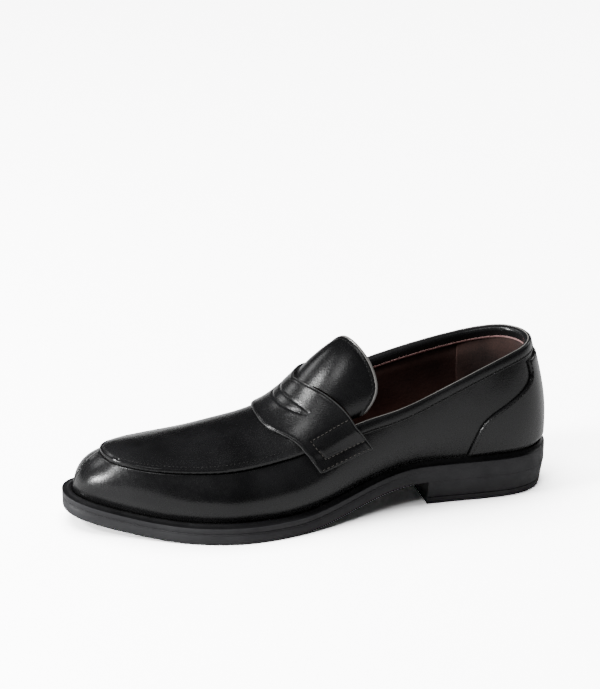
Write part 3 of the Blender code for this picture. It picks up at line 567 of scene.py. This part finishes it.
def napped_material(name, dark, light):
    """Suede: a short directionless nap that catches light at its edges."""
    material, tree, shader = new_material(name)
    patches = add(tree, noise(tree, 45.0, 5.0), noise(tree, 1200.0, 3.0), 0.5)
    colour = blend_colour(tree, blend_value(tree, patches, 0.0, 1.0, 0.55, 0.95), dark, light)
    tree.links.new(colour, shader.inputs["Base Color"])
    shader.inputs["Roughness"].default_value = 0.95
    shader.inputs["Sheen Weight"].default_value = 0.06
    shader.inputs["Sheen Roughness"].default_value = 0.5
    tree.links.new(bump_from(tree, noise(tree, 1800.0, 4.0), 0.00025), shader.inputs["Normal"])
    return material


def thread_material(name, dark, light):
    material, tree, shader = new_material(name)
    twist = node(tree, "ShaderNodeTexWave", {"Scale": 900.0, "Distortion": 2.0}, wave_type="BANDS")
    tree.links.new(node(tree, "ShaderNodeTexCoord").outputs["Object"], twist.inputs["Vector"])
    tree.links.new(blend_colour(tree, twist.outputs["Fac"], dark, light), shader.inputs["Base Color"])
    shader.inputs["Roughness"].default_value = 0.5
    shader.inputs["Specular IOR Level"].default_value = 0.2
    tree.links.new(bump_from(tree, twist.outputs["Fac"], 0.0001), shader.inputs["Normal"])
    return material


def steel_material():
    material, tree, shader = new_material("nail_steel")
    shader.inputs["Metallic"].default_value = 1.0
    tree.links.new(blend_value(tree, noise(tree, 300.0), 0.3, 0.5), shader.inputs["Roughness"])
    colour = blend_colour(tree, noise(tree, 90.0), (0.45, 0.45, 0.46), (0.62, 0.62, 0.63))
    tree.links.new(colour, shader.inputs["Base Color"])
    return material


def floor_material():
    """Pale paper: the lens sees it overexposed, as in product photographs, and the shoe sees it mid grey."""
    material, tree, shader = new_material("studio_floor")
    cloud = noise(tree, 3.0, 2.0)
    paper = blend_colour(tree, cloud, *FLOOR_PAPER)
    seen = node(tree, "ShaderNodeLightPath").outputs["Is Camera Ray"]
    bright = node(tree, "ShaderNodeMix", data_type="RGBA")
    tree.links.new(seen, bright.inputs["Factor"])
    tree.links.new(paper, bright.inputs[6])
    bright.inputs[7].default_value = (FLOOR_EXPOSURE, FLOOR_EXPOSURE, FLOOR_EXPOSURE, 1.0)
    matte = node(tree, "ShaderNodeBsdfDiffuse", {"Color": bright.outputs[2]})
    tree.links.new(matte.outputs[0], tree.nodes["Material Output"].inputs["Surface"])
    tree.nodes.remove(shader)
    return material


BLACK = leather_material(
    "black_leather", (0.003, 0.003, 0.0032), (0.007, 0.007, 0.0074), (0.22, 0.28), 0.00004, specular=0.31
)
# Pale leather for thin cords on the tongue's edge and the topline's fold: a painted highlight, a light line
# standing for the gleam on those rounded edges.
PAINTED_HIGHLIGHT_EDGE = leather_material("painted_highlight_edge", (0.075, 0.072, 0.069), (0.13, 0.126, 0.12), (0.22, 0.32), 0.00004)
# Strap edge cords, paler than the black leather: a painted highlight along the strap's rolled edges.
STRAP_EDGE_PAINTED_HIGHLIGHT = leather_material("strap_edge_painted_highlight", (0.012, 0.012, 0.0125), (0.03, 0.03, 0.03), (0.22, 0.32), 0.00004)
RUBBER = rubber_material("black_rubber", (0.019, 0.019, 0.0206), (0.030, 0.030, 0.0321))
# Darker rubber for the welt's ledge: painted shade for the shadowed crease between the upper and the sole.
LEDGE_PAINTED_SHADE = rubber_material("black_rubber_ledge_painted_shade", (0.005, 0.005, 0.0054), (0.008, 0.008, 0.0085), 0.42)
LINING = leather_material(
    "lining_leather", (0.0147, 0.0065, 0.0055), (0.036, 0.0157, 0.0124), (0.5, 0.7), 0.00016, specular=0.3
)
SOCK = leather_material(
    "sock_leather", (0.026, 0.0124, 0.0098), (0.059, 0.026, 0.0196), (0.5, 0.7), 0.00018, specular=0.3
)
GRIP = napped_material("grip_suede", (0.0147, 0.0062, 0.0049), (0.050, 0.022, 0.0165))
RAW = leather_material("raw_lining_edge", (0.26, 0.14, 0.13), (0.44, 0.26, 0.25), (0.6, 0.8), 0.0001)
THREAD = thread_material("waxed_thread", (0.016, 0.0145, 0.013), (0.05, 0.045, 0.041))
BLACK_THREAD = thread_material("black_thread", (0.005, 0.005, 0.005), (0.016, 0.015, 0.015))
STEEL = steel_material()
BOARD = napped_material("fibre_board", (0.36, 0.24, 0.15), (0.48, 0.35, 0.24))


# ================================================================ shared shapes
def wall_columns(first, last, spacing, **edges):
    """Ring stations with even steps along the shoe, and each one's distance from the nearer end."""
    u = np.linspace(first, last, 600)
    line = wall_surface(u, 0.5)
    run = np.concatenate([[0], np.cumsum(np.linalg.norm(np.diff(line, axis=0), axis=1))])
    at = edge_samples(run[-1], spacing, **edges)
    return np.interp(at, run, u), np.minimum(at, run[-1] - at)


def sheet_between(name, place, low, high, from_edge, radius, look, slot, relief=0.0, **options):
    """A sheet from one distance to another over the skin, its outer face rounded down at its edges.
    place(distance) gives its points."""
    full = rounded(from_edge, radius)
    outer = low + (high - low) * full + relief * np.clip(full * 1.2, 0, 1)
    return shell(name, place(outer), place(low + 0 * outer), look, slot, **options)


def above(obj, path):
    """Points of obj's upper surface over a path seen from above, and the surface's directions there."""
    corners = [vertex.co for vertex in obj.data.vertices]
    tree = BVHTree.FromPolygons(corners, [tuple(face.vertices) for face in obj.data.polygons])
    found, facing = [], []
    for x, y in path[:, :2]:
        place, direction, _, _ = tree.ray_cast(((x - LENGTH / 2) * MM, y * MM, 0.2), (0, 0, -1))
        if place is not None:
            found.append(np.array(place) / MM + (LENGTH / 2, 0, 0))
            facing.append(direction)
    return np.array(found), np.array(facing)


# ================================================================ sole and heel
def ring_solid(name, profile, look, slot, columns=420, replaces=(), face_looks=None):
    """A closed strip round the whole shoe; profile(x, inset) lists its corners as (inwards, z)."""
    u = np.linspace(0, 2 * STATIONS, columns, endpoint=False)
    edge, outward = outline(u)
    loops = []
    for inwards, height in profile(edge[:, 0], inset_at(u)):
        place = edge - outward * (inwards + 0 * edge[:, 0])[:, None]
        loops.append(np.column_stack([place, welt_top(place[:, 0]) + height]))
    sections = np.stack(loops, axis=1)
    size = sections.shape[1]
    faces, looks = [], []
    for i in range(columns):
        after = (i + 1) % columns
        for j in range(size):
            next_j = (j + 1) % size
            faces.append((i * size + j, after * size + j, after * size + next_j, i * size + next_j))
            looks.append(face_looks[j] if face_looks else 0)
    return finish_mesh(name, sections, faces, look, slot, replaces=replaces, face_looks=looks)


def welt_profile(x, inset):
    """A crisp outer corner, a gently rising ledge, a low bead against the upper and a crease."""
    rise = bead_rise(x)
    one = 1 + 0 * x
    return [
        (0.3 * joint_depth(x), -WELT_THICKNESS * one),
        (0 * one, (0.3 - WELT_THICKNESS) * one),
        (0 * one, -0.28 * one),
        (0.08 * one, -0.08 * one),
        (0.3 * one, 0 * one),
        (0.28 * inset, 0.12 * rise),
        (0.46 * inset, 0.34 * rise),
        (0.58 * inset, 0.80 * rise),
        (0.70 * inset, 0.98 * rise),
        (0.82 * inset, 0.86 * rise),
        (0.93 * inset - 0.3, 0.40 * rise),
        (inset - 0.3, 0 * one),
        (WELT_WIDTH * one, 0 * one),
        (WELT_WIDTH * one, -WELT_THICKNESS * one),
    ]


def make_welt():
    # The ledge's faces, the middle eight of the profile, take the darker rubber: painted shade in the crease
    # against the upper.
    ring_solid(
        "welt_strip", welt_profile, [RUBBER, LEDGE_PAINTED_SHADE], "black_rubber", replaces=["welt"],
        face_looks=[0] * 4 + [1] * 8 + [0] * 2,
    )


def joint_depth(x):
    """The sole's joint lines show on the forepart and fade out on the heel."""
    return ease((x - 90.0) / 30.0)


def rib_depth(x, y, margin):
    """Grooves of the tread: wavy bars across the forepart, inside a plain border."""
    wave = np.sin(2 * math.pi * (x + 2.2 * np.sin(y * 0.32)) / 7.0)
    area = ease((x - 152) / 3) * ease((283 - x) / 3) * ease((margin - 6.0) / 1.5)
    return 0.9 * ease((wave - 0.15) / 0.35) * area


def make_outsole():
    """The outsole: a smooth edge with one moulded line, and a ribbed underside."""
    k = np.concatenate([np.linspace(0, 4, 50)[:-1], np.linspace(4, 16, 210)])
    under = -WELT_THICKNESS - 0.04
    edge = ((0.35, under), (0.05, under - 0.3), (0.02, under - 0.75), (0.22, under - 1.0), (0.02, under - 1.25))
    across_share = np.linspace(1, -1, 41)
    rows = []
    for station in k:
        sides = []
        for sign in (1, -1):
            at = station if sign > 0 else 2 * STATIONS - station
            column = []
            ahead = joint_depth(outline(at)[0][0])
            for inwards, height in edge:
                (x, y), _ = outline(at, inwards * ahead)
                column.append((x, y, welt_top(x) + height))
            for inwards, lift in ((0.0, 1.0), (0.12, 0.35), (0.5, 0.06)):
                (x, y), _ = outline(at, inwards * ahead)
                column.append((x, y, min(tread(x) + lift, welt_top(x) + under - 1.4)))
            sides.append(np.array(column))
        (left, _), (right, _) = outline(station, 1.2), outline(2 * STATIONS - station, 1.2)
        half = (across_share + 1) / 2
        x = right[0] + (left[0] - right[0]) * half
        y = right[1] + (left[1] - right[1]) * half
        margin = np.minimum(np.abs(y - left[1]), np.abs(y - right[1]))
        z = tread(x) + rib_depth(x, y, margin)
        rows.append(np.vstack([sides[0], np.column_stack([x, y, z]), sides[1][::-1]]))
    sections = np.stack(rows)
    size = sections.shape[1]
    faces = quads(len(k), size, wrap=True)
    finish_mesh("outsole_unit", sections, faces, RUBBER, "black_rubber", replaces=["outsole"])


def heel_layer(name, low, high, replaced, low_edge, high_edge):
    """A slice of the heel, cut square at the breast; its two edges are softened by these widths."""
    seat = HEEL_SEAT_Z - SOLE_THICKNESS - GAP
    profile = (
        (low_edge, low), (low_edge * 0.25, low + low_edge * 0.25), (0.0, low + low_edge),
        (0.0, high - high_edge), (high_edge * 0.25, high - high_edge * 0.25), (high_edge, high),
    )
    k = np.linspace(0, 5.2, 90)
    columns = []
    for sign in (1, -1):
        side = []
        for inwards, z in profile:
            at = k if sign > 0 else 2 * STATIONS - k
            place, _ = outline(at, np.full(len(k), inwards + HEEL_TAPER * (1 - z / seat)))
            end = np.interp(HEEL_BREAST_X, place[:, 0], place[:, 1])
            kept = place[:, 0] < HEEL_BREAST_X
            x = np.where(kept, place[:, 0], HEEL_BREAST_X)
            y = np.where(kept, place[:, 1], end)
            side.append(np.column_stack([x, y, np.full(len(k), z)]))
        columns.append(np.stack(side, axis=1))
    sections = np.concatenate([columns[0], columns[1][:, ::-1]], axis=1)
    size = sections.shape[1]
    faces = quads(len(k), size, wrap=True) + [tuple((len(k) - 1) * size + j for j in range(size))]
    finish_mesh(name, sections, faces, RUBBER, "black_rubber", replaces=[replaced])


# ================================================================ upper
def creases(points):
    """Shallow wrinkles where the quarters bend, below the topline."""
    x, z = points[..., 0], points[..., 2]
    total = np.zeros(x.shape)
    for start, lean, top in ((88.0, 0.35, 66.0), (101.0, 0.5, 58.0)):
        line = x - start - lean * (z - 45.0)
        total -= 0.22 * bump(line, 2.2) * ease((z - 30.0) / 10.0) * ease((top - z) / 8.0)
    return total


def toe_seam(u, t):
    """The raised seam down the middle of the toe."""
    across_it = np.linalg.norm(wall_surface(u, 0.5) - wall_surface(float(STATIONS), 0.5), axis=-1)
    lips = 0.45 * bump(across_it - 1.3, 0.8) - 0.35 * bump(across_it, 0.5)
    return lips * ease((1.02 - t) / 0.06)


def make_side(name, first, last, seed):
    u, from_end = wall_columns(first, last, 1.9)
    t = np.concatenate([np.linspace(-0.035, 0.96, 40), [0.975, 0.987, 0.995, 1.0]])
    u, t = u[:, None], t[None, :]
    from_edge = np.minimum(from_end[:, None], (1 - t) * wall_height(u))
    skin = wall_surface(u, t)
    relief = 0.09 * smooth_noise(skin, 26.0, seed) + 0.02 * smooth_noise(skin, 8.0, seed + 1)
    relief = (relief + creases(skin) + toe_seam(u, t)) * ease(from_edge / 1.5)
    sheet_between(
        name + "_leather", lambda distance: wall(u, t, distance), -1.5, 0.0, from_edge, 0.9, BLACK,
        "black_leather", relief=relief, replaces=[name],
    )


def apron_outline():
    return rail_at(np.linspace(6.0, 26.0, 900))


def make_apron():
    """The plug over the toes, with a rolled rim and a row of stitches inside it."""
    w = 2 * edge_samples(70.0, 1.6, radius=1.6) / 70.0 - 1
    first = station_at(strap_back_at(np.abs(w)) * 0.8 + strap_front_at(np.abs(w)) * 0.2)
    share = np.concatenate([np.linspace(0, 0.85, 75)[:-1], np.linspace(0.85, 1, 30)])
    k = first[None, :] + (15.97 - first[None, :]) * share[:, None]
    w = np.broadcast_to(w[None, :], k.shape)
    skin = arch_surface(k, w)
    line = apron_outline()
    from_edge = np.array([np.linalg.norm(row[:, None] - line[None], axis=-1).min(axis=1) for row in skin])
    rim = 0.38 * bump(from_edge - 0.9, 0.7) - 0.42 * bump(from_edge - APRON_STITCH_INSET, 0.5)
    waves = 0.09 * smooth_noise(skin, 30.0, 21) + 0.02 * smooth_noise(skin, 9.0, 22)
    relief = rim + waves * ease(from_edge / 4)
    apron = sheet_between(
        "apron_leather", lambda distance: across(k, w, distance), 0.1, 2.0, from_edge, 1.5, BLACK,
        "black_leather", relief=relief, replaces=["apron"],
    )
    ring = rail_at(np.linspace(7.4, 24.6, 500))
    along = np.gradient(ring[:, :2], axis=0)
    along /= np.linalg.norm(along, axis=1, keepdims=True)
    inner = ring[:, :2] - np.column_stack([-along[:, 1], along[:, 0]]) * APRON_STITCH_INSET
    path, facing = above(apron, inner)
    stitches("apron_stitching", path, facing, pitch=2.4, length=1.9, radius=0.18, look=BLACK_THREAD)


def strap_base(a):
    return 0.35 + 1.85 * ease((1.22 - np.abs(a)) / 0.2)


def strap_point(a, share, distance):
    a, share, distance = np.broadcast_arrays(np.asarray(a, float), share, distance)
    front = strap_front_at(np.abs(a))
    back = strap_back_at(np.abs(a))
    k = station_at(front + (back - front) * share)
    return across(k, a, strap_base(a) + distance)


def strap_out(a, share):
    near = strap_point(a, share, 2.0)
    return strap_point(a, share, 3.0) - near


def slot_relief(a, share):
    """The penny slot: a lens-shaped hole showing a soft panel, sunk below the strap."""
    length = 1 - np.abs(a / SLOT_END) ** 2.6
    half = SLOT_HALF_WIDTH * np.clip(length, 0.0, 1) ** 0.42 * STRAP_WIDTH
    beside = np.abs(share - SLOT_CENTRE) * STRAP_WIDTH - half
    inside = ease(-beside / 0.5 + 0.3) * (length > 0)
    groove = 0.38 * bump(beside + 0.25, 0.55) * ease(length * 5)
    return -groove - inside * 0.14


def make_strap():
    a = STRAP_END * (2 * edge_samples(STRAP_SPAN, 1.05, radius=1.0) / STRAP_SPAN - 1)
    share = edge_samples(STRAP_WIDTH, 0.42, radius=1.0) / STRAP_WIDTH
    a, share = a[:, None], share[None, :]
    end = (STRAP_END - np.abs(a)) * MM_ACROSS
    side = np.minimum(share, 1 - share) * STRAP_WIDTH
    from_edge = corner_distance(end, side, 1.5)
    skin = strap_point(a, share, 0.0)
    relief = slot_relief(a, share) + 0.04 * smooth_noise(skin, 24.0, 31) * ease(from_edge / 2)
    relief = relief + 0.16 * bump(side - 1.4, 0.9) * ease(end / 2)
    top, bottom = BOX_ACROSS
    front = BOX_SHARE[0]
    in_box = ease((share - front + 0.02) / 0.02) * ease((np.abs(a) - top + 0.02) / 0.02)
    in_box = in_box * (np.abs(a) < bottom + 0.02)
    stitched = bump((np.abs(a) - top) * MM_ACROSS, 0.6) + bump((np.abs(a) - bottom) * MM_ACROSS, 0.6)
    stitched = stitched + bump((share - front) * STRAP_WIDTH, 0.6)
    relief = relief - 0.28 * np.clip(stitched, 0, 1) * in_box
    sheet_between(
        "strap_leather", lambda distance: strap_point(a, share, distance), 0.0, STRAP_THICKNESS, from_edge,
        1.3, BLACK, "black_leather", relief=relief, replaces=["saddle_strap"],
    )
    a = np.linspace(0.02 - STRAP_END, STRAP_END - 0.02, 300)
    # Cords along the strap's front and rear edges, in the paler edge leather: painted highlight lines.
    for name, share in (("strap_front_edge_painted_highlight", 0.012), ("strap_rear_edge_painted_highlight", 0.985)):
        cord(name, strap_point(a, share + 0 * a, 1.38), 0.38, STRAP_EDGE_PAINTED_HIGHLIGHT, "black_leather")


def strap_stitching(side, sign):
    top, bottom = BOX_ACROSS
    front, back = BOX_SHARE
    corners = [(top, back), (top, front), (bottom, front), (bottom, back)]
    path, out = [], []
    for (a0, s0), (a1, s1) in zip(corners, corners[1:]):
        step = np.linspace(0, 1, 40)
        a = sign * (a0 + (a1 - a0) * step)
        share = s0 + (s1 - s0) * step
        path.append(strap_point(a, share, STRAP_THICKNESS - 0.12))
        out.append(strap_out(a, share))
    stitches(
        f"strap_box_stitching_{side}", np.vstack(path), np.vstack(out),
        look=THREAD, replaces=[f"strap_stitching_{side}"],
    )
    share = np.linspace(0.04, 0.96, 60)
    low = sign * (STRAP_END - 0.045)
    path = strap_point(low, share, STRAP_THICKNESS - 0.08)
    stitches(f"strap_end_stitching_{side}", path, strap_out(low, share), look=THREAD)


def tongue_surface(x, w):
    points = across_surface(station_at(x), w)
    points[..., 1] -= np.sign(w) * TONGUE_TUCK * np.abs(w) ** 6
    return points


def tongue_point(x, w, distance):
    x, w, distance = np.broadcast_arrays(x, w, distance)
    return tongue_surface(x, w) + normals(tongue_surface, x, w, 0.02) * distance[..., None]


def make_tongue():
    """The tongue bends at its root, where it comes from under the strap."""
    w = TONGUE_SIDE * (2 * edge_samples(90.0, 1.6, radius=1.2) / 90.0 - 1)
    strap = strap_back_at(np.abs(w))
    front = strap - 0.6 + 5.1 * ease((strap - 150.0) / 5.0)
    back = tongue_edge_at(w)
    share = edge_samples(30.0, 0.8, near_end=False, radius=1.2) / 30.0
    x = back + (front - back) * share[:, None]
    w = np.broadcast_to(w[None, :], x.shape)
    from_back = (x - back) * 1.25
    from_side = (TONGUE_SIDE - np.abs(w)) * 45.0
    from_edge = corner_distance(from_back, from_side, 1.5)
    skin = tongue_surface(x, w)
    relief = 0.35 * bump(from_back - 1.4, 1.1) - 0.3 * bump(from_back - 3.0, 0.6)
    relief = relief + 0.06 * smooth_noise(skin, 22.0, 41)
    leather = sheet_between(
        "tongue_leather", lambda distance: tongue_point(x, w, distance), 0.1, 2.0, from_edge, 1.3, BLACK,
        "black_leather", relief=relief * ease(from_edge / 1.2), body=None, replaces=["tongue"],
    )
    lining = sheet_between(
        "tongue_lining_leather", lambda distance: tongue_point(x, w, distance), -1.0, 0.05, from_edge, 0.6,
        LINING, "burgundy_leather", relief=0 * x, body=None, replaces=["tongue_lining"],
    )
    w = np.linspace(-0.93, 0.93, 160)
    edge = tongue_edge_at(w) + 2.4
    path = tongue_point(edge, w, 1.75)
    sewn = stitches(
        "tongue_edge_stitching", path, tongue_point(edge, w, 3.0) - path, look=BLACK_THREAD, radius=0.22,
        body=None, replaces=["tongue_stitching"],
    )
    w = np.linspace(-0.965, 0.965, 200)
    rim = tongue_edge_at(w)
    # The bead is in the pale edge leather: a painted highlight along the tongue's rim.
    bead = cord("tongue_edge_painted_highlight_bead", tongue_point(rim - 0.05, w, 1.55), 0.95, PAINTED_HIGHLIGHT_EDGE, "black_leather", body=None)
    for obj in (leather, lining, sewn, bead):
        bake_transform(obj)


def make_foxing():
    low, top = FOXING_HEIGHTS
    heights = low + (top - low) * edge_samples(55.0, 1.6, radius=1.0) / 55.0
    share = 2 * edge_samples(200.0, 1.8, radius=1.0) / 200.0 - 1
    reach = foxing_at(heights)
    u = share[:, None] * reach[None, :]
    t = np.broadcast_to(heights[None, :], u.shape)
    from_front = (1 - np.abs(share))[:, None] * reach[None, :] * 25.0
    from_top = (top - t) * wall_height(u)
    from_low = (t - low) * wall_height(u)
    from_edge = corner_distance(from_front, np.minimum(from_top, from_low), 1.0)
    skin = wall_surface(u, t)
    relief = 0.06 * smooth_noise(skin, 24.0, 51) * ease(from_edge / 2) - 0.2 * bump(from_front - 2.2, 0.6)
    sheet_between(
        "foxing_leather", lambda distance: wall(u, t, distance), 0.15, 1.95, from_edge, 1.3, BLACK,
        "black_leather", relief=relief, replaces=["heel_foxing"],
    )
    heights = np.linspace(0.09, 0.86, 150)
    for side, sign in (("lateral", 1), ("medial", -1)):
        line = sign * (foxing_at(heights) - 0.095)
        path = wall(line, heights, 1.95)
        stitches(
            f"foxing_edge_stitching_{side}", path, wall(line, heights, 3.0) - path, look=BLACK_THREAD,
            radius=0.22, replaces=[f"foxing_stitching_{side}"],
        )


def binding_profile(height):
    """The folded band round the topline: pairs of (height above the edge, distance from the skin)."""
    outside = [(-5.6, 0.3), (-5.55, 0.75), (-5.2, 1.05), (-4.7, 1.0), (-4.35, 0.78), (-4.0, 1.0), (-3.0, 1.2)]
    over = [(-0.2, 1.25), (0.55, 1.05), (1.0, 0.55), (1.2, -0.3), (1.15, -1.3), (0.9, -2.3)]
    over += [(0.4, -3.0), (-0.4, -3.45)]
    inside = [(-1.6, -3.65), (-3.4, -3.75), (-4.6, -3.8), (-5.0, -3.7), (-5.0, -3.1)]
    under = [(-1.6, -3.0), (-0.2, -2.5), (0.35, -1.4), (0.3, 0.1), (-0.2, 0.3)]
    return [(1 + rise / height, distance) for rise, distance in outside + over + inside + under]


def make_binding():
    u, from_end = wall_columns(-BAND_END, BAND_END, 1.3, near_start=False, near_end=False)
    height = wall_height(u)
    loops = [wall(u, t, distance + 0 * u) for t, distance in binding_profile(height)]
    sections = np.stack(loops, axis=1)
    size = sections.shape[1]
    wave = 0.06 * smooth_noise(sections, 14.0, 61)
    sections[..., 2] += wave * ease(from_end / 3)[:, None]
    caps = [tuple(range(size)), tuple((len(u) - 1) * size + j for j in range(size))]
    finish_mesh(
        "topline_band", sections, quads(len(u), size, wrap=True) + caps, BLACK, "black_leather",
        replaces=["topline_binding"],
    )
    u = np.linspace(0.05 - BAND_END, BAND_END - 0.05, 500)
    row = 1 - 4.35 / wall_height(u)
    path = wall(u, row, 0.98)
    stitches(
        "topline_band_stitching", path, wall(u, row, 3.0) - path, look=BLACK_THREAD, radius=0.22,
        replaces=["topline_stitching"],
    )
    # A thin pale cord on the fold's top: a painted highlight along the topline's rim.
    cord("topline_fold_painted_highlight_cord", wall(u, 1 + 1.12 / wall_height(u), -0.6 + 0 * u), 0.34, PAINTED_HIGHLIGHT_EDGE, "black_leather")
    strip(u, "lining_raw_edge", -5.9, -4.8, -3.95)


def strip(u, name, low, high, inner):
    """The pale cut edge of the lining, showing under the inside of the band."""
    height = wall_height(u)
    corners = [(low, -2.85), (low, inner + 0.1), (low + 0.1, inner), (high, inner), (high, -2.85)]
    sections = np.stack([wall(u, 1 + rise / height, distance + 0 * u) for rise, distance in corners], axis=1)
    size = len(corners)
    caps = [tuple(range(size)), tuple((len(u) - 1) * size + j for j in range(size))]
    finish_mesh(name, sections, quads(len(u), size, wrap=True) + caps, RAW, "burgundy_leather")


# ================================================================ linings
def lining_offset(t):
    return -2.9 + 1.1 * ease((t - 0.76) / 0.12)


def make_quarter_lining(side, sign):
    t = np.linspace(*LINING_HEIGHTS, 36)
    seam = np.minimum(2 - t, STRAP_END)
    front = station_at(strap_back_at(seam) + 1.2) - 0.03
    share = np.linspace(0, 1, 70)
    u = sign * (LINING_BACK_STATION + (front[None, :] - LINING_BACK_STATION) * share[:, None])
    t = np.broadcast_to(t[None, :], u.shape)
    from_edge = np.minimum(share, 1 - share)[:, None] * 70 + 0 * t
    middle = lining_offset(t) - 0.5
    skin = wall_surface(u, t)
    wave = 0.15 * smooth_noise(skin, 20.0, 71)
    half = 0.5 * rounded(from_edge, 0.6)
    outer = wall(u, t, middle + half)
    inner = wall(u, t, middle - half + wave)
    shell(
        f"quarter_lining_leather_{side}", outer, inner, LINING, "burgundy_leather",
        replaces=[f"quarter_lining_{side}"],
    )


def make_heel_grip():
    u, from_end = wall_columns(-GRIP_END_STATION, GRIP_END_STATION, 2.0)
    t = np.linspace(*LINING_HEIGHTS, 36)
    u, t = u[:, None], t[None, :]
    half = 0.5 * rounded(from_end[:, None], 0.6)
    middle = lining_offset(t) - 0.85
    wave = 0.15 * smooth_noise(wall_surface(u, t), 18.0, 72)
    shell(
        "heel_grip_suede", wall(u, t, middle + half), wall(u, t, middle - half + wave), GRIP, "suede",
        replaces=["heel_grip"],
    )


def make_vamp_lining():
    a = np.concatenate([-np.linspace(1.86, 1.05, 20), np.linspace(-1, 1, 60), np.linspace(1.05, 1.86, 20)])
    first = station_at(strap_back_at(np.minimum(np.abs(a), STRAP_END)) + 1.2) + 0.03
    share = np.linspace(0, 1, 70)
    k = first[None, :] + (15.2 - first[None, :]) * share[:, None]
    a = np.broadcast_to(a[None, :], k.shape)
    distance = -3.6 + 3.0 * ease((0.95 - np.abs(a)) / 0.3)
    shell(
        "vamp_lining_leather", across(k, a, distance), across(k, a, distance - 1.0), LINING,
        "burgundy_leather", replaces=["vamp_lining"],
    )


def make_sock_liner():
    """The leather footbed, a little cushioned, with a rounded edge close to the linings."""
    k = np.linspace(0.0, float(STATIONS), 150)
    across_share = np.concatenate([[-1, -0.985, -0.95], np.linspace(-0.9, 0.9, 41), [0.95, 0.985, 1]])
    rows_top, rows_low = [], []
    lefts = wall(k, SOCK_EDGE_RISE / wall_height(k), -SOCK_EDGE_DEPTH)
    back_again = 2 * STATIONS - k
    rights = wall(back_again, SOCK_EDGE_RISE / wall_height(back_again), -SOCK_EDGE_DEPTH)
    for left, right in zip(lefts, rights):
        half = (across_share + 1) / 2
        x = right[0] + (left[0] - right[0]) * half
        y = right[1] + (left[1] - right[1]) * half
        edge = np.minimum(1 - np.abs(across_share), 1) * 30.0
        base = welt_top(x) + 4.4 + 2.4 * ease((84.0 - x) / 30.0)
        curl = 0.8 * (1 - ease(edge / 8.0))
        rows_top.append(np.column_stack([x, y, base + 0.5 + 0.5 * rounded(edge, 0.8) + curl]))
        rows_low.append(np.column_stack([x, y, base + 0.5 - 0.5 * rounded(edge, 0.8) + curl]))
    top, low = np.stack(rows_top), np.stack(rows_low)
    top[..., 2] += 0.12 * smooth_noise(top, 26.0, 81)
    shell("sock_liner_leather", top, low, SOCK, "burgundy_leather", replaces=["sock_liner"])


# ================================================================ hidden CAD nodes, studio and camera
def paint_left_nodes():
    looks = {
        "insole_board": BOARD, "heel_counter": BOARD, "toe_puff": LEDGE_PAINTED_SHADE, "cork_filler": BOARD,
        "heel_pad": GRIP, "shank": STEEL,
    }
    for name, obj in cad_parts.items():
        look = STEEL if name.startswith("heel_nail") else looks.get(name)
        if look:
            for slot in obj.material_slots:
                slot.material = look


def lamp(name, kind, place, target):
    light = bpy.data.lights.new(name, kind)
    obj = bpy.data.objects.new(name, light)
    obj.location = place
    obj.rotation_euler = (Vector(target) - Vector(place)).to_track_quat("-Z", "Y").to_euler()
    bpy.context.scene.collection.objects.link(obj)
    return obj


def softbox(name, target, azimuth, elevation, distance, side, radiance):
    level = math.cos(math.radians(elevation))
    away = Vector((
        level * math.cos(math.radians(azimuth)),
        level * math.sin(math.radians(azimuth)),
        math.sin(math.radians(elevation)),
    ))
    box = lamp(name, "AREA", Vector(target) + away * distance, target)
    box.data.shape = "SQUARE"
    box.data.size = side
    box.visible_camera = False
    box.data.energy = radiance * math.pi * side * side


def make_studio():
    mesh = bpy.data.meshes.new("floor")
    half = FLOOR_HALF
    corners = [(-half, -half, 0), (half, -half, 0), (half, half, 0), (-half, half, 0)]
    mesh.from_pydata(corners, [], [(0, 1, 2, 3)])
    mesh.materials.append(floor_material())
    floor = bpy.data.objects.new("floor", mesh)
    floor.location.z = CAD_BOX[0][2] - FLOOR_DROP
    bpy.context.scene.collection.objects.link(floor)
    world = bpy.data.worlds.new("studio")
    bpy.context.scene.world = world
    world.use_nodes = True
    background = world.node_tree.nodes["Background"]
    background.inputs["Color"].default_value = (1.0, 1.0, 1.0, 1.0)
    background.inputs["Strength"].default_value = WORLD_STRENGTH
    sky = lamp("sky", "SUN", SKY_PLACE, (0.0, 0.0, 0.0))
    sky.data.energy = SKY_LIGHT
    sky.data.angle = math.radians(SKY_ANGLE)
    sky.visible_glossy = False
    for box in SOFTBOXES:
        softbox(*box)


def make_camera():
    data = bpy.data.cameras.new("camera")
    data.sensor_width = 36.0
    data.lens = CAMERA_LENS
    data.clip_start = 0.05
    camera = bpy.data.objects.new("camera", data)
    camera.location = CAMERA_PLACE
    camera.rotation_euler = Vector(CAMERA_FORWARD).to_track_quat("-Z", "Y").to_euler()
    bpy.context.scene.collection.objects.link(camera)
    bpy.context.scene.camera = camera


# ================================================================ the scene
make_camera()
make_studio()
make_welt()
make_outsole()
heel_layer("heel_stack", LIFT_THICKNESS + GAP, HEEL_SEAT_Z - SOLE_THICKNESS - 0.03, "heel_block", 0.5, 0.01)
heel_layer("heel_top_piece", 0.0, LIFT_THICKNESS, "top_lift", 0.5, 0.5)
make_side("lateral_side", 0.003, STATIONS - 0.003, 11)
make_side("medial_side", STATIONS + 0.003, 2 * STATIONS - 0.003, 12)
make_apron()
make_strap()
for side, sign in (("lateral", 1), ("medial", -1)):
    strap_stitching(side, sign)
    make_quarter_lining(side, sign)
make_tongue()
make_foxing()
make_binding()
make_heel_grip()
make_vamp_lining()
make_sock_liner()
paint_left_nodes()
